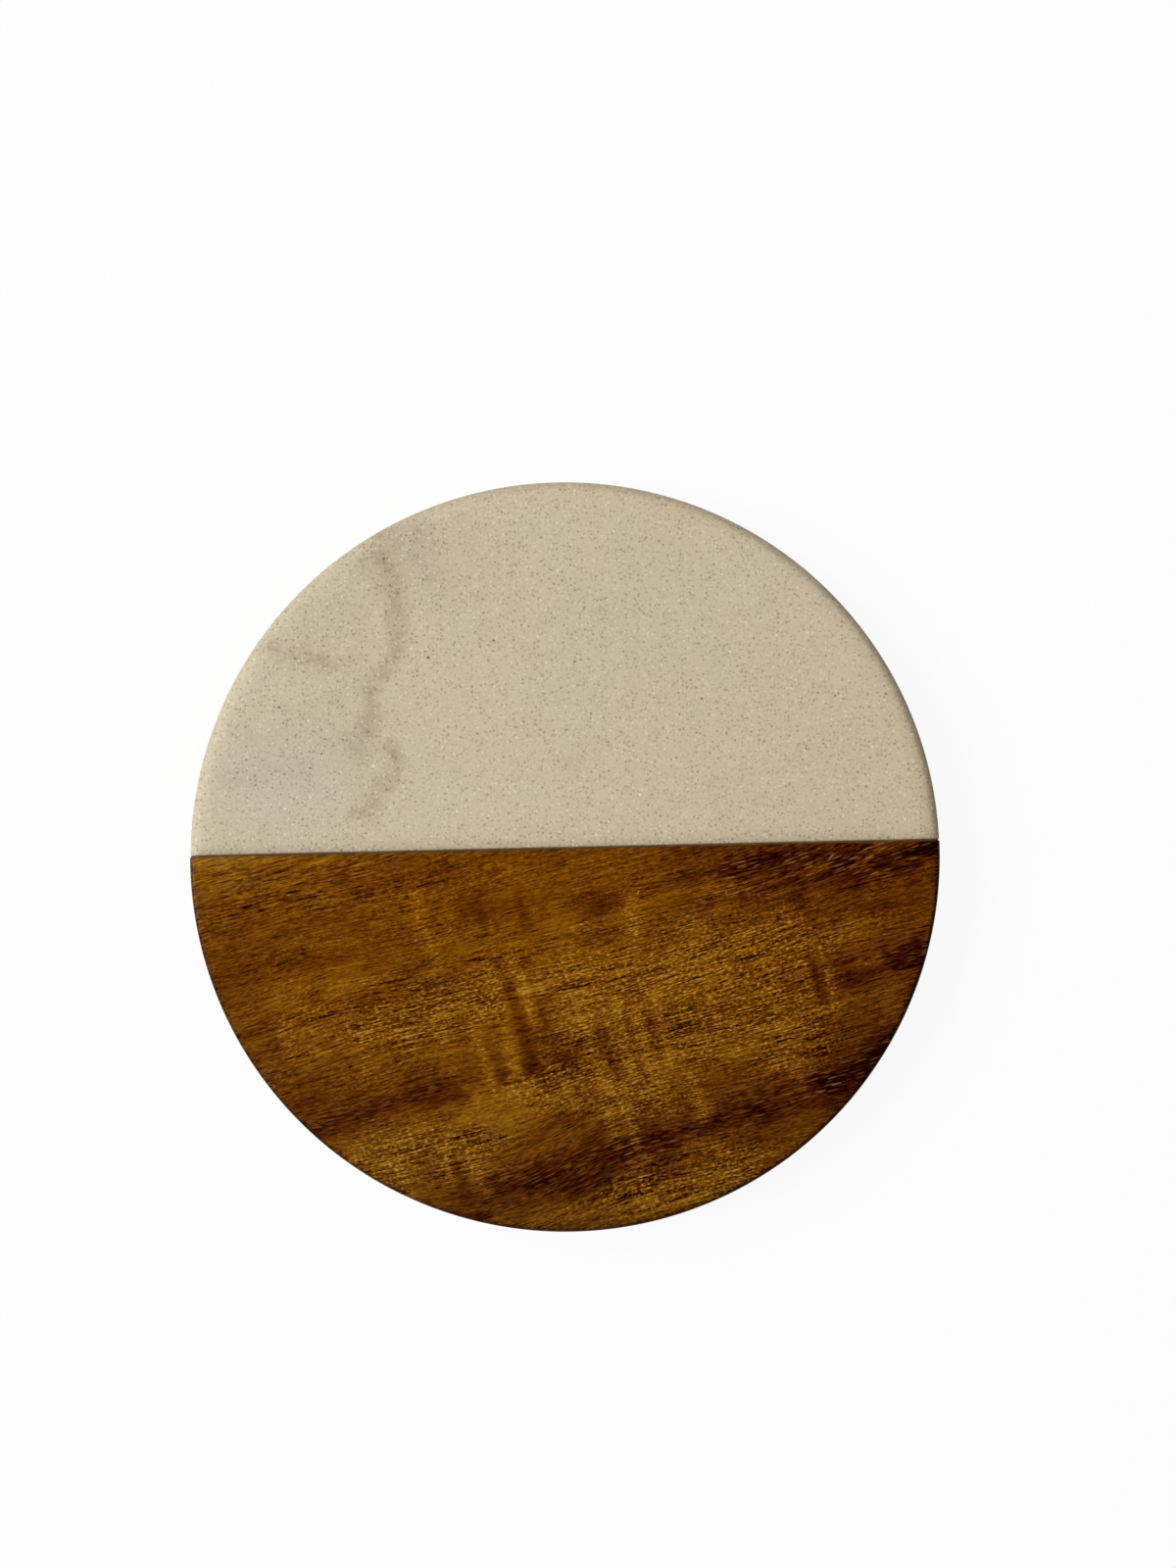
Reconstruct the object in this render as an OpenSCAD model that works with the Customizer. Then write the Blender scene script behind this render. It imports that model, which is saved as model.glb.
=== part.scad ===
// Round drink coaster, half stone and half hardwood.
// The two half discs meet edge to edge in a thin resin glue line, on two
// hidden dowels, and the coaster stands on four stick-on rubber feet.
// Millimetres. The origin is at the middle of the disc, on the plane that
// the feet stand on. +Z is up, X runs along the joint, and the stone is on
// the +Y side.

/* [Disc] */
// Diameter of the coaster
disc_d = 101.6; // [84:0.1:130]
// Thickness of the stone and of the wood
board_t = 9.5; // [8:0.1:14]
// Distance of the joint from the middle of the disc, towards the stone
seam_offset = 1.2; // [-4:0.1:4]

/* [Stone half] */
// Radius of the polished upper edge of the stone
stone_top_r = 1.2; // [0.3:0.1:2]
// Radius of the eased lower edge of the stone
stone_under_r = 0.5; // [0.2:0.1:1.5]

/* [Wood half] */
// Radius of the sanded upper edge of the wood
wood_top_r = 0.6; // [0.2:0.1:2]
// Radius of the eased lower edge of the wood
wood_under_r = 0.5; // [0.2:0.1:1.5]

/* [Glue line] */
// Thickness of the resin between the halves
glue_t = 0.25; // [0.1:0.05:0.6]
// How far the resin lies back from every face of the disc
glue_recess = 0.1; // [0.05:0.05:0.4]
// Width of the bevel that sanding leaves on each half along the joint
seam_bevel = 0.12; // [0.05:0.01:0.3]

/* [Dowels] */
// Diameter of a dowel
dowel_d = 5; // [3:0.5:6]
// Length of a dowel
dowel_len = 22; // [12:1:32]
// Distance of a dowel's axis from the rim, along the joint
dowel_inset = 22; // [10:1:34]
// Bevel on the ends of a dowel
dowel_bevel = 0.7; // [0.3:0.1:1.2]
// Number of glue flutes pressed into a dowel
flute_count = 16; // [8:2:20]
// Depth of a glue flute
flute_depth = 0.22; // [0.1:0.02:0.3]
// Width of a glue flute where it opens
flute_w = 0.5; // [0.3:0.05:0.6]
// Radial clearance of a dowel in its bores
dowel_clearance = 0.05; // [0.02:0.01:0.15]
// Room for glue between a dowel's end and the end of its bore
dowel_end_gap = 0.6; // [0.2:0.1:2]
// Countersink that takes up the glue at the mouth of a bore
bore_countersink = 0.6; // [0.2:0.1:1.2]
// Point angle of the drill
drill_point_angle = 118; // [90:1:140]

/* [Feet] */
// Diameter of a foot where it is stuck on
foot_d = 10; // [6:0.5:14]
// Height of a foot without its adhesive
foot_h = 1.6; // [0.8:0.1:4]
// Draft of a foot's side, in degrees
foot_draft = 12; // [2:1:20]
// Radius of the edge that a foot stands on
foot_edge_r = 0.4; // [0.15:0.05:0.6]
// Distance of a foot's edge from the rim
foot_inset = 6.5; // [2:0.5:14]
// Direction of a foot from the middle, measured from the joint, in degrees
foot_angle = 45; // [35:1:60]
// Thickness of the adhesive disc on a foot
tape_t = 0.2; // [0.1:0.05:0.4]
// How far the adhesive disc lies back from the edge of its foot
tape_margin = 0.2; // [0.1:0.05:0.6]

/* [Hidden] */
$fn = 96;

stone_colour = "#cbbf9f";
wood_colour = "#7d4a10";
resin_colour = "#33200d";
dowel_colour = "#d9b98a";
foot_colour = "#26262a";
tape_colour = "#c9c7bf";

// Overrun of every cut past the face that it opens
overrun = 1;

disc_r = disc_d / 2;
board_z = foot_h + tape_t;
stone_seam_y = seam_offset + glue_t / 2;
wood_seam_y = seam_offset - glue_t / 2;

dowel_r = dowel_d / 2;
bore_r = dowel_r + dowel_clearance;
bore_depth = dowel_len / 2 - glue_t / 2 + dowel_end_gap;
bore_point_h = bore_r / tan(drill_point_angle / 2);
dowel_x = disc_r - dowel_inset;
dowel_z = board_z + board_t / 2;
// A flute is a round cutter of this radius, which opens to the flute's width at its depth
flute_r = (flute_w * flute_w / 4 + flute_depth * flute_depth) / (2 * flute_depth);

foot_r = foot_d / 2;
foot_reach = disc_r - foot_inset - foot_r;

// Half section of a disc, with round upper and lower edges at its rim
module rim_section(radius, thickness, top_r, under_r) {
    square([radius - under_r, thickness - top_r]);
    translate([0, under_r]) square([radius - top_r, thickness - under_r]);
    translate([0, under_r]) square([radius, thickness - under_r - top_r]);
    translate([radius - top_r, thickness - top_r]) circle(r = top_r);
    translate([radius - under_r, under_r]) circle(r = under_r);
}

// Whole disc, standing at the height of the boards
module disc(radius, thickness, top_r, under_r) {
    rotate_extrude() rim_section(radius, thickness, top_r, under_r);
}

// Everything on the side of the joint that +Y points to, from y = 0 on
module half_space() {
    translate([-disc_d, 0, -overrun]) cube([2 * disc_d, 2 * disc_d, board_t + 2 * overrun]);
}

// Wedge that bevels the edge of a half along the joint, at height z = 0
module seam_wedge() {
    rotate([90, 0, 90])
        translate([0, 0, -disc_d])
            linear_extrude(height = 2 * disc_d)
                polygon([
                    [-overrun, overrun],
                    [-overrun, -overrun - seam_bevel],
                    [overrun + seam_bevel, overrun]
                ]);
}

// Blind hole for half a dowel: it opens at y = 0 and runs towards +Y
module dowel_bore() {
    rotate([-90, 0, 0]) {
        translate([0, 0, -overrun]) cylinder(h = bore_depth + overrun, r = bore_r);
        translate([0, 0, bore_depth]) cylinder(h = bore_point_h, r1 = bore_r, r2 = 0);
        translate([0, 0, -overrun])
            cylinder(
                h = bore_countersink + overrun,
                r1 = bore_r + bore_countersink + overrun,
                r2 = bore_r
            );
    }
}

// One half of the coaster, with its joint face at y = 0 and its body towards +Y.
// The rim's middle lies at y = -centre_y.
module half_board(centre_y, top_r, under_r) {
    difference() {
        intersection() {
            translate([0, -centre_y, 0]) disc(disc_r, board_t, top_r, under_r);
            half_space();
        }
        translate([0, 0, board_t]) seam_wedge();
        mirror([0, 0, 1]) seam_wedge();
        for (side = [-1, 1])
            translate([side * dowel_x, 0, board_t / 2]) dowel_bore();
    }
}

module stone_half() {
    color(stone_colour)
        translate([0, stone_seam_y, board_z])
            half_board(stone_seam_y, stone_top_r, stone_under_r);
}

module wood_half() {
    color(wood_colour)
        translate([0, wood_seam_y, board_z])
            mirror([0, 1, 0])
                half_board(-wood_seam_y, wood_top_r, wood_under_r);
}

// Film of cured resin, set back from the rim and the faces, with a hole for each dowel
module glue_line() {
    color(resin_colour)
        difference() {
            translate([0, 0, board_z + glue_recess])
                intersection() {
                    disc(
                        disc_r - glue_recess, board_t - 2 * glue_recess,
                        stone_top_r, stone_under_r
                    );
                    translate([-disc_d, wood_seam_y, -overrun])
                        cube([2 * disc_d, glue_t, board_t + 2 * overrun]);
                }
            for (side = [-1, 1])
                translate([side * dowel_x, wood_seam_y - overrun, dowel_z])
                    rotate([-90, 0, 0]) cylinder(h = glue_t + 2 * overrun, r = bore_r);
        }
}

// Beech dowel with bevelled ends and pressed flutes, half of it in each board
module dowel(side) {
    color(dowel_colour)
        translate([side * dowel_x, seam_offset - dowel_len / 2, dowel_z])
            rotate([-90, 0, 0])
                difference() {
                    union() {
                        cylinder(h = dowel_bevel, r1 = dowel_r - dowel_bevel, r2 = dowel_r);
                        translate([0, 0, dowel_bevel])
                            cylinder(h = dowel_len - 2 * dowel_bevel, r = dowel_r);
                        translate([0, 0, dowel_len - dowel_bevel])
                            cylinder(h = dowel_bevel, r1 = dowel_r, r2 = dowel_r - dowel_bevel);
                    }
                    for (i = [0 : flute_count - 1])
                        rotate([0, 0, 360 * i / flute_count])
                            translate([dowel_r - flute_depth + flute_r, 0, -overrun])
                                cylinder(h = dowel_len + 2 * overrun, r = flute_r);
                }
}

// Middle of a foot: right is 1 or -1, and stone is 1 on the stone or -1 on the wood
function foot_place(right, stone) =
    [right * foot_reach * cos(foot_angle), stone * foot_reach * sin(foot_angle)];

// Half section of a foot: flat top, drafted side and a round edge that it stands on
module foot_section() {
    edge_x = foot_r - (foot_h - foot_edge_r) * tan(foot_draft) - foot_edge_r / cos(foot_draft);
    flank_x = edge_x + foot_edge_r * cos(foot_draft);
    flank_y = foot_edge_r - foot_edge_r * sin(foot_draft);
    polygon([[0, 0], [edge_x, 0], [edge_x, foot_edge_r], [flank_x, flank_y], [foot_r, foot_h], [0, foot_h]]);
    translate([edge_x, foot_edge_r]) circle(r = foot_edge_r);
}

module foot(right, stone) {
    color(foot_colour)
        translate(foot_place(right, stone))
            rotate_extrude() foot_section();
}

module tape(right, stone) {
    color(tape_colour)
        translate(concat(foot_place(right, stone), foot_h))
            cylinder(h = tape_t, r = foot_r - tape_margin);
}

stone_half();
wood_half();
glue_line();
dowel(-1);  // dowel_left
dowel(1);  // dowel_right
foot(-1, 1);  // foot_stone_left
foot(1, 1);  // foot_stone_right
foot(-1, -1);  // foot_wood_left
foot(1, -1);  // foot_wood_right
tape(-1, 1);  // tape_stone_left
tape(1, 1);  // tape_stone_right
tape(-1, -1);  // tape_wood_left
tape(1, -1);  // tape_wood_right
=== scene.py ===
"""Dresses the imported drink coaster: honed stone, oiled acacia, resin, beech, rubber and tape.

Everything is in the row frame: the origin is at the middle of the disc on the table, +Z is
up, X runs along the joint and the stone lies on the +Y side. Places and pattern sizes are
worked out in millimetres, and MM turns them into metres.
"""

import logging
import math
from collections.abc import Iterable
from dataclasses import dataclass, field
from enum import Enum

import bpy
import numpy as np
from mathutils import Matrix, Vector


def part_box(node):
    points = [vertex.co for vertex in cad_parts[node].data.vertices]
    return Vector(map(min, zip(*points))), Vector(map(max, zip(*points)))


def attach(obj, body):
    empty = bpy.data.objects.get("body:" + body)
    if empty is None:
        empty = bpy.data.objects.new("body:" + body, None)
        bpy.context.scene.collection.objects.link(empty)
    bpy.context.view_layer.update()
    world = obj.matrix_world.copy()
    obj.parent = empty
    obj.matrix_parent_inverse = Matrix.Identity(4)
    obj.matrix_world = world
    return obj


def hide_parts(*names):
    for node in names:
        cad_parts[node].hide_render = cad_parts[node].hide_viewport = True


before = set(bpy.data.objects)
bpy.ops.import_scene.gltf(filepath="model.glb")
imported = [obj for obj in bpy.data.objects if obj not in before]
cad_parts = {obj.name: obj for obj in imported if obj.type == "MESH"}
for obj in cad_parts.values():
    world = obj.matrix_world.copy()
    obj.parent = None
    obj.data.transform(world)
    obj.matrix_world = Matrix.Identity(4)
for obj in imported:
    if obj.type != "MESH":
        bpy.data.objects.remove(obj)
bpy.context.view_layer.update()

LOG = logging.getLogger("coaster")
MM = 0.001
ROOT = "root"
BAKE_MAP = "OFBake"
# An edge that turns by more than this shows as a crease, in degrees
CREASE = 30.0
# Sockets of the Mix node when it mixes colours
FACTOR, COLOUR_A, COLOUR_B, MIXED = 0, 6, 7, 2

Socket = bpy.types.NodeSocket
Tree = bpy.types.NodeTree
# A place, or a size along two axes, or two ends of a range
Pair = tuple[float, float]


class Side(Enum):
    """The side of the joint that a half lies on; the value is the sign of its Y."""

    STONE = 1
    WOOD = -1


class Light(Enum):
    """How the key lamp and the fill share the light on a level face; they add up to 1."""

    KEY = 0.84
    FILL = 0.16


# Helpers


def linear(hex_colour: str) -> tuple[float, float, float, float]:
    """Turns an sRGB hex colour into linear RGBA.

    Args:
        hex_colour: six hex digits after a hash.

    Returns:
        Linear red, green and blue from 0 to 1, and an alpha of 1.
    """
    parts = (int(hex_colour[i : i + 2], 16) / 255 for i in (1, 3, 5))
    red, green, blue = (c / 12.92 if c <= 0.04045 else ((c + 0.055) / 1.055) ** 2.4 for c in parts)
    return red, green, blue, 1.0


def add(
    tree: Tree, kind: str, inputs: dict | None = None, out: int | str | None = 0, **settings: object
) -> Socket:
    """Adds a node with its settings and links.

    Args:
        tree: the node tree that gets the node.
        kind: the node's type.
        inputs: what goes into each socket, by name or number: another node's output is
            linked, and anything else becomes the socket's own value.
        out: the output to give back, by name or number, or None for a node without one.
        settings: properties of the node itself.

    Returns:
        The chosen output.
    """
    node = tree.nodes.new(kind)
    for name, value in settings.items():
        setattr(node, name, value)
    for key, value in (inputs or {}).items():
        if isinstance(value, Socket):
            tree.links.new(value, node.inputs[key])
        else:
            node.inputs[key].default_value = value
    return None if out is None else node.outputs[out]


def colours(tree: Tree, factor: Socket, stops: Iterable[tuple[float, str]]) -> Socket:
    """Adds a row of colours that a factor runs through.

    Args:
        tree: the material's node tree.
        factor: the place in the row, from 0 to 1.
        stops: places and hex colours, in rising order.

    Returns:
        The colour at that place.
    """
    colour = add(tree, "ShaderNodeValToRGB", {"Fac": factor})
    stops = tuple(stops)
    elements = colour.node.color_ramp.elements
    while len(elements) < len(stops):
        elements.new(1.0)
    for element, (place, tint) in zip(elements, stops, strict=True):
        element.position = place
        element.color = linear(tint)
    return colour


def weighted(tree: Tree, base: float, *terms: tuple[Socket, Socket | float]) -> Socket:
    """Adds up values, each times its weight, onto a base.

    Args:
        tree: the material's node tree.
        base: the sum without any term.
        terms: pairs of a value and its weight. The weight may be a pattern too.

    Returns:
        The sum.
    """
    total: Socket | float = base
    for value, weight in terms:
        total = add(tree, "ShaderNodeMath", {0: value, 1: weight, 2: total}, operation="MULTIPLY_ADD")
    return total


def bumps(tree: Tree, where: Socket, size: tuple[float, float, float], detail: float = 2.0) -> Socket:
    """Adds smooth noise whose bumps have a given size.

    The noise lies around 0.5, and 3 n - 1.5 spreads it around 0.

    Args:
        tree: the material's node tree.
        where: the place, in mm.
        size: the size of a bump along each axis, in mm.
        detail: how many times finer noise is laid over it.

    Returns:
        A height around 0 that is nearly always between -1 and 1.
    """
    share = tuple(1 / s for s in size)
    place = add(tree, "ShaderNodeMapping", {"Vector": where, "Scale": share})
    height = add(tree, "ShaderNodeTexNoise", {"Vector": place, "Scale": 1.0, "Detail": detail})
    return add(tree, "ShaderNodeMath", {0: height, 1: 3.0, 2: -1.5}, operation="MULTIPLY_ADD")


def marks(
    tree: Tree,
    where: Socket,
    cell: tuple[float, float, float],
    mark: tuple[float, float, float],
    shift: float = 0.0,
    spread: float = 1.0,
    rare: float = 0.0,
) -> Socket:
    """Adds scattered oval marks, one around the middle of each cell of a random pattern.

    With r the distance from the middle, counted in halves of the mark's size, the mark is
    full below r = 0.5 and gone at r = 1. Its strength is random, and the weak ones can be
    left out to make the marks rare.

    Args:
        tree: the material's node tree.
        where: the place, in mm.
        cell: the mean size of a cell along each axis, in mm.
        mark: the size of a mark along each axis, in mm.
        shift: moves the pattern, so that two layers differ.
        spread: how far a middle strays from a regular lattice, from 0 to 1.
        rare: the share of the cells that stay empty.

    Returns:
        The strength of the marks, from 0 to 1.
    """
    share = tuple(1 / c for c in cell)
    place = add(tree, "ShaderNodeMapping", {"Vector": where, "Location": (shift,) * 3, "Scale": share})
    cells = {"Vector": place, "Scale": 1.0, "Randomness": spread}
    middle = add(tree, "ShaderNodeTexVoronoi", cells, out="Position")
    offset = add(tree, "ShaderNodeVectorMath", {0: place, 1: middle}, operation="SUBTRACT")
    halves = tuple(2 * c / m for c, m in zip(cell, mark, strict=True))
    scaled = add(tree, "ShaderNodeVectorMath", {0: offset, 1: halves}, operation="MULTIPLY")
    reach = add(tree, "ShaderNodeVectorMath", {0: scaled}, out="Value", operation="LENGTH")
    body = add(
        tree,
        "ShaderNodeMapRange",
        {"Value": reach, "From Min": 1.0, "From Max": 0.5},
        interpolation_type="SMOOTHSTEP",
    )
    chance = add(tree, "ShaderNodeSeparateColor", {"Color": middle.node.outputs["Color"]}, out="Red")
    strength = add(tree, "ShaderNodeMapRange", {"Value": chance, "From Min": rare})
    return add(tree, "ShaderNodeMath", {0: body, 1: strength}, operation="MULTIPLY")


def laid(tree: Tree, under: Socket | tuple, amount: Socket, tint: str) -> Socket:
    """Lays a tint over a colour.

    Args:
        tree: the material's node tree.
        under: the colour below.
        amount: how much of the tint covers it.
        tint: the tint's hex colour.

    Returns:
        The mixed colour.
    """
    inputs = {FACTOR: amount, COLOUR_A: under, COLOUR_B: linear(tint)}
    return add(tree, "ShaderNodeMix", inputs, out=MIXED, data_type="RGBA")


def placed_marks(tree: Tree, where: Socket, table: Iterable[tuple[float, ...]], level: float) -> Socket:
    """Adds oval marks at listed places.

    With r the distance from a mark's middle, counted in halves of its size, its strength
    falls from full at r = 0.4 to nothing at r = 1. The strongest mark counts.

    Args:
        tree: the material's node tree.
        where: the place, in mm.
        table: x, y, length, width, turn in degrees and strength of each mark.
        level: the height that the marks lie at, in mm.

    Returns:
        The strength of the marks, from 0 to 1.
    """
    total: Socket | float = 0.0
    for x, y, length, width, turn, strength in table:
        place = add(
            tree,
            "ShaderNodeMapping",
            {
                "Vector": where,
                "Location": (x, y, level),
                "Rotation": (0, 0, math.radians(turn)),
                "Scale": (length / 2, width / 2, max(length, width) / 2),
            },
            vector_type="TEXTURE",
        )
        reach = add(tree, "ShaderNodeVectorMath", {0: place}, out="Value", operation="LENGTH")
        mark = add(
            tree,
            "ShaderNodeMapRange",
            {"Value": reach, "From Min": 1.0, "From Max": 0.4, "To Max": strength},
            interpolation_type="SMOOTHSTEP",
        )
        total = add(tree, "ShaderNodeMath", {0: mark, 1: total}, operation="MAXIMUM")
    return total


def millimetres(tree: Tree) -> Socket:
    """Adds the place on the object in millimetres, from its own coordinates."""
    place = add(tree, "ShaderNodeTexCoord", out="Object")
    return add(tree, "ShaderNodeMapping", {"Vector": place, "Scale": (1 / MM,) * 3})


def soft_noise(u: np.ndarray, v: np.ndarray, seed: int) -> np.ndarray:
    """Smooth noise with about one bump a unit.

    Random heights stand on a square lattice. Between four of them the height is blended
    by the weight 3t^2 - 2t^3 in each direction.

    Args:
        u: first coordinate of each point, in bumps.
        v: second coordinate of each point, in bumps.
        seed: picks the heights.

    Returns:
        A height from -1 to 1 for each point.
    """
    size = 256
    heights = np.random.default_rng(seed).uniform(-1, 1, (size, size))
    iu, iv = np.floor(u).astype(int), np.floor(v).astype(int)
    fu, fv = (t * t * (3 - 2 * t) for t in (u - iu, v - iv))
    near, far = (
        heights[(iu + a) % size, iv % size] * (1 - fv) + heights[(iu + a) % size, (iv + 1) % size] * fv
        for a in (0, 1)
    )
    return near * (1 - fu) + far * fu


def reach_of(x: np.ndarray, y: np.ndarray, start: Pair, end: Pair) -> tuple[np.ndarray, np.ndarray]:
    """Distance of points from a straight stretch, and where along it they lie.

    Args:
        x: first coordinate of the points.
        y: second coordinate of the points.
        start: one end of the stretch.
        end: its other end.

    Returns:
        The distance, and the share of the way from start to end, from 0 to 1.
    """
    run_x, run_y = end[0] - start[0], end[1] - start[1]
    along = (x - start[0]) * run_x + (y - start[1]) * run_y
    share = np.clip(along / (run_x**2 + run_y**2), 0, 1)
    return np.hypot(x - start[0] - share * run_x, y - start[1] - share * run_y), share


def fading(distance: np.ndarray, reach: np.ndarray | float) -> np.ndarray:
    """Strength that fades with the distance d: exp(-(d / reach)^2)."""
    return np.exp(-((distance / reach) ** 2))


def bell(x: np.ndarray, y: np.ndarray, middle: Pair, reach: Pair) -> np.ndarray:
    """A soft hill over a place: exp(-(dx / a)^2 - (dy / b)^2), with dx and dy from its middle.

    Args:
        x: first coordinate of the points.
        y: second coordinate of the points.
        middle: where the hill is 1.
        reach: how far from there it has fallen to 0.37, along x and along y.

    Returns:
        Its height at each point.
    """
    return fading(x - middle[0], reach[0]) * fading(y - middle[1], reach[1])


def slope(value: np.ndarray, middle: float, width: float) -> np.ndarray:
    """A soft step from 0 to 1: 1 / (1 + exp(-(v - middle) / width)).

    Args:
        value: the coordinate v that it rises along.
        middle: where it is one half.
        width: how wide it is; a negative one turns it round.

    Returns:
        Its height at each point.
    """
    return 1 / (1 + np.exp(-(value - middle) / width))


# Meshes


def closed(grid: np.ndarray) -> np.ndarray:
    """Repeats a grid's first column after its last one, so that it closes into a ring."""
    return np.concatenate([grid, grid[:, :1]], axis=1)


@dataclass
class Patchwork:
    """Grids of faces that share their vertices and become one closed mesh.

    Attributes:
        points: all vertices so far, one row each, in mm.
        corners: the four vertices of each face, one array for each grid.
        places: the same corners on the texture map.
    """

    points: np.ndarray = field(default_factory=lambda: np.empty((0, 3)))
    corners: list[np.ndarray] = field(default_factory=list)
    places: list[np.ndarray] = field(default_factory=list)

    def more(self, points: np.ndarray) -> np.ndarray:
        """Adds vertices.

        Args:
            points: an array of any shape whose last axis holds x, y and z.

        Returns:
            Their numbers, in the shape of the array.
        """
        first = len(self.points)
        flat = points.reshape(-1, 3)
        self.points = np.concatenate([self.points, flat])
        return (first + np.arange(len(flat))).reshape(points.shape[:-1])

    def sheet(
        self, index: np.ndarray, u: np.ndarray, v: np.ndarray, keep: np.ndarray | None = None
    ) -> None:
        """Adds a grid of faces: each face joins four neighbours of the grid.

        Args:
            index: the vertex at each place of the grid.
            u: first coordinate of each place on the texture map.
            v: second coordinate of each place on the texture map.
            keep: which faces are kept; without it, all.
        """
        shape = index.shape
        uv = np.stack([np.broadcast_to(u, shape), np.broadcast_to(v, shape)], -1)
        for store, grid in ((self.corners, index), (self.places, uv)):
            around = np.stack([grid[:-1, :-1], grid[1:, :-1], grid[1:, 1:], grid[:-1, 1:]], 2)
            flat = around.reshape(-1, *around.shape[2:])
            store.append(flat if keep is None else flat[keep.ravel()])

    def build(self, name: str) -> bpy.types.Object:
        """Makes the object, with its faces outwards and its texture map.

        A face with two corners in one vertex becomes a triangle. All faces are turned
        round if the volume inside them, the sum of a . (b x c) / 6 over their triangles,
        comes out negative.

        Args:
            name: the object's name.

        Returns:
            The new object, at the origin.
        """
        quads, uvs = np.concatenate(self.corners), np.concatenate(self.places)
        a, b, c, d = (self.points[quads[:, k]] for k in range(4))
        if np.sum(a * np.cross(b, c)) + np.sum(a * np.cross(c, d)) < 0:
            quads, uvs = quads[:, ::-1], uvs[:, ::-1]
        same = quads == np.roll(quads, -1, axis=1)
        whole = ~same.any(axis=1)
        faces, places = quads[whole].tolist(), [uvs[whole].reshape(-1, 2)]
        for k in range(4):
            thin = same[:, k] & (same.sum(axis=1) == 1)
            others = [j for j in range(4) if j != k]
            faces += quads[thin][:, others].tolist()
            places.append(uvs[thin][:, others].reshape(-1, 2))
        mesh = bpy.data.meshes.new(name)
        mesh.from_pydata((self.points * MM).tolist(), [], faces)
        mesh.uv_layers.new(name=BAKE_MAP).data.foreach_set("uv", np.concatenate(places).ravel())
        mesh.shade_smooth()
        mesh.set_sharp_from_angle(angle=math.radians(CREASE))
        piece = bpy.data.objects.new(name, mesh)
        bpy.context.scene.collection.objects.link(piece)
        return piece


def keep_field(piece: bpy.types.Object, name: str, values: np.ndarray) -> None:
    """Keeps a number or a vector for each vertex as a named attribute.

    Args:
        piece: the object whose mesh gets it.
        name: the attribute's name.
        values: one number, or one row of three, for each vertex.
    """
    kind, part = ("FLOAT", "value") if values.ndim == 1 else ("FLOAT_VECTOR", "vector")
    layer = piece.data.attributes.new(name, kind, "POINT")
    layer.data.foreach_set(part, np.ascontiguousarray(values, dtype=np.float32).ravel())


def seat(piece: bpy.types.Object, node: str, material: bpy.types.Material) -> None:
    """Puts a new piece in the place of a CAD node, with its body and material.

    Args:
        piece: the new piece.
        node: the CAD node that it stands for.
        material: its finish.
    """
    piece.data.materials.append(material)
    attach(piece, ROOT)
    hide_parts(node)
    LOG.info("%s: %d faces in place of %s", piece.name, len(piece.data.polygons), node)


def coat(node: str, material: bpy.types.Material) -> None:
    """Gives a carried-over CAD node a finish in its own material slots.

    Args:
        node: the CAD node.
        material: its finish.
    """
    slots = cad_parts[node].material_slots
    for slot in slots:
        slot.material = material
    LOG.info("%s: %s", node, material.name)


# Finishes


@dataclass(frozen=True)
class Finish:
    """A procedural finish. Each kind works out its own surface.

    Attributes:
        name: the material's name.
    """

    name: str

    def surface(self, tree: Tree) -> dict:
        """Draws the colour, gloss and relief, and gives back the shader's inputs."""
        raise NotImplementedError

    def material(self) -> bpy.types.Material:
        """Makes the material around the surface.

        Returns:
            The new material.
        """
        material = bpy.data.materials.new(self.name)
        material.use_nodes = True
        tree = material.node_tree
        tree.nodes.clear()
        shader = add(tree, "ShaderNodeBsdfPrincipled", self.surface(tree))
        add(tree, "ShaderNodeOutputMaterial", {"Surface": shader}, out=None)
        return material


# Single grains of the stone that catch the eye, and scratches and long dark lines in the wood,
# listed one by one: x, y, length and width in mm, turn in degrees, strength
BLACK_SPECKS = (
    (-17.9, 27.4, 0.55, 0.45, 20, 0.95),
    (-38.2, 21.1, 0.6, 0.42, -20, 0.8),
    (-9.0, 29.5, 0.5, 0.42, 0, 0.8),
    (1.9, 26.4, 0.45, 0.4, 0, 0.75),
    (-23.6, 40.9, 0.5, 0.42, 40, 0.85),
    (43.9, 21.1, 0.5, 0.4, 0, 0.7),
    (19.0, 21.0, 0.42, 0.36, -30, 0.8),
    (-34.2, 12.8, 0.4, 0.35, -30, 0.6),
)
WHITE_SPARKLES = (
    (-20.2, 28.6, 0.5, 0.36, -35, 0.85),
    (-6.2, 16.3, 0.42, 0.36, 0, 0.7),
    (-25.6, 12.9, 0.6, 0.32, -50, 0.75),
    (-14.5, 6.5, 0.42, 0.36, 0, 0.75),
    (-37.7, 7.4, 0.5, 0.4, -30, 0.8),
    (22.9, 27.3, 0.42, 0.36, 0, 0.7),
    (38.5, 18.2, 0.42, 0.36, 0, 0.7),
    (7.8, 12.1, 0.42, 0.36, 0, 0.6),
    (10.3, 8.2, 0.46, 0.4, 0, 0.9),
    (4.3, 2.9, 0.42, 0.36, 0, 0.7),
    (22.5, 13.9, 0.4, 0.34, 20, 0.6),
    (-34.4, 19.3, 0.4, 0.3, 0, 0.5),
)
WOOD_SCRATCHES = (
    (36.0, -0.8, 1.5, 0.18, 47, 0.5),
    (21.7, -5.3, 0.18, 0.9, 0, 0.35),
    (9.8, -5.0, 0.8, 0.2, 60, 0.6),
    (-20.4, -10.8, 0.7, 0.2, 50, 0.5),
)
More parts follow.
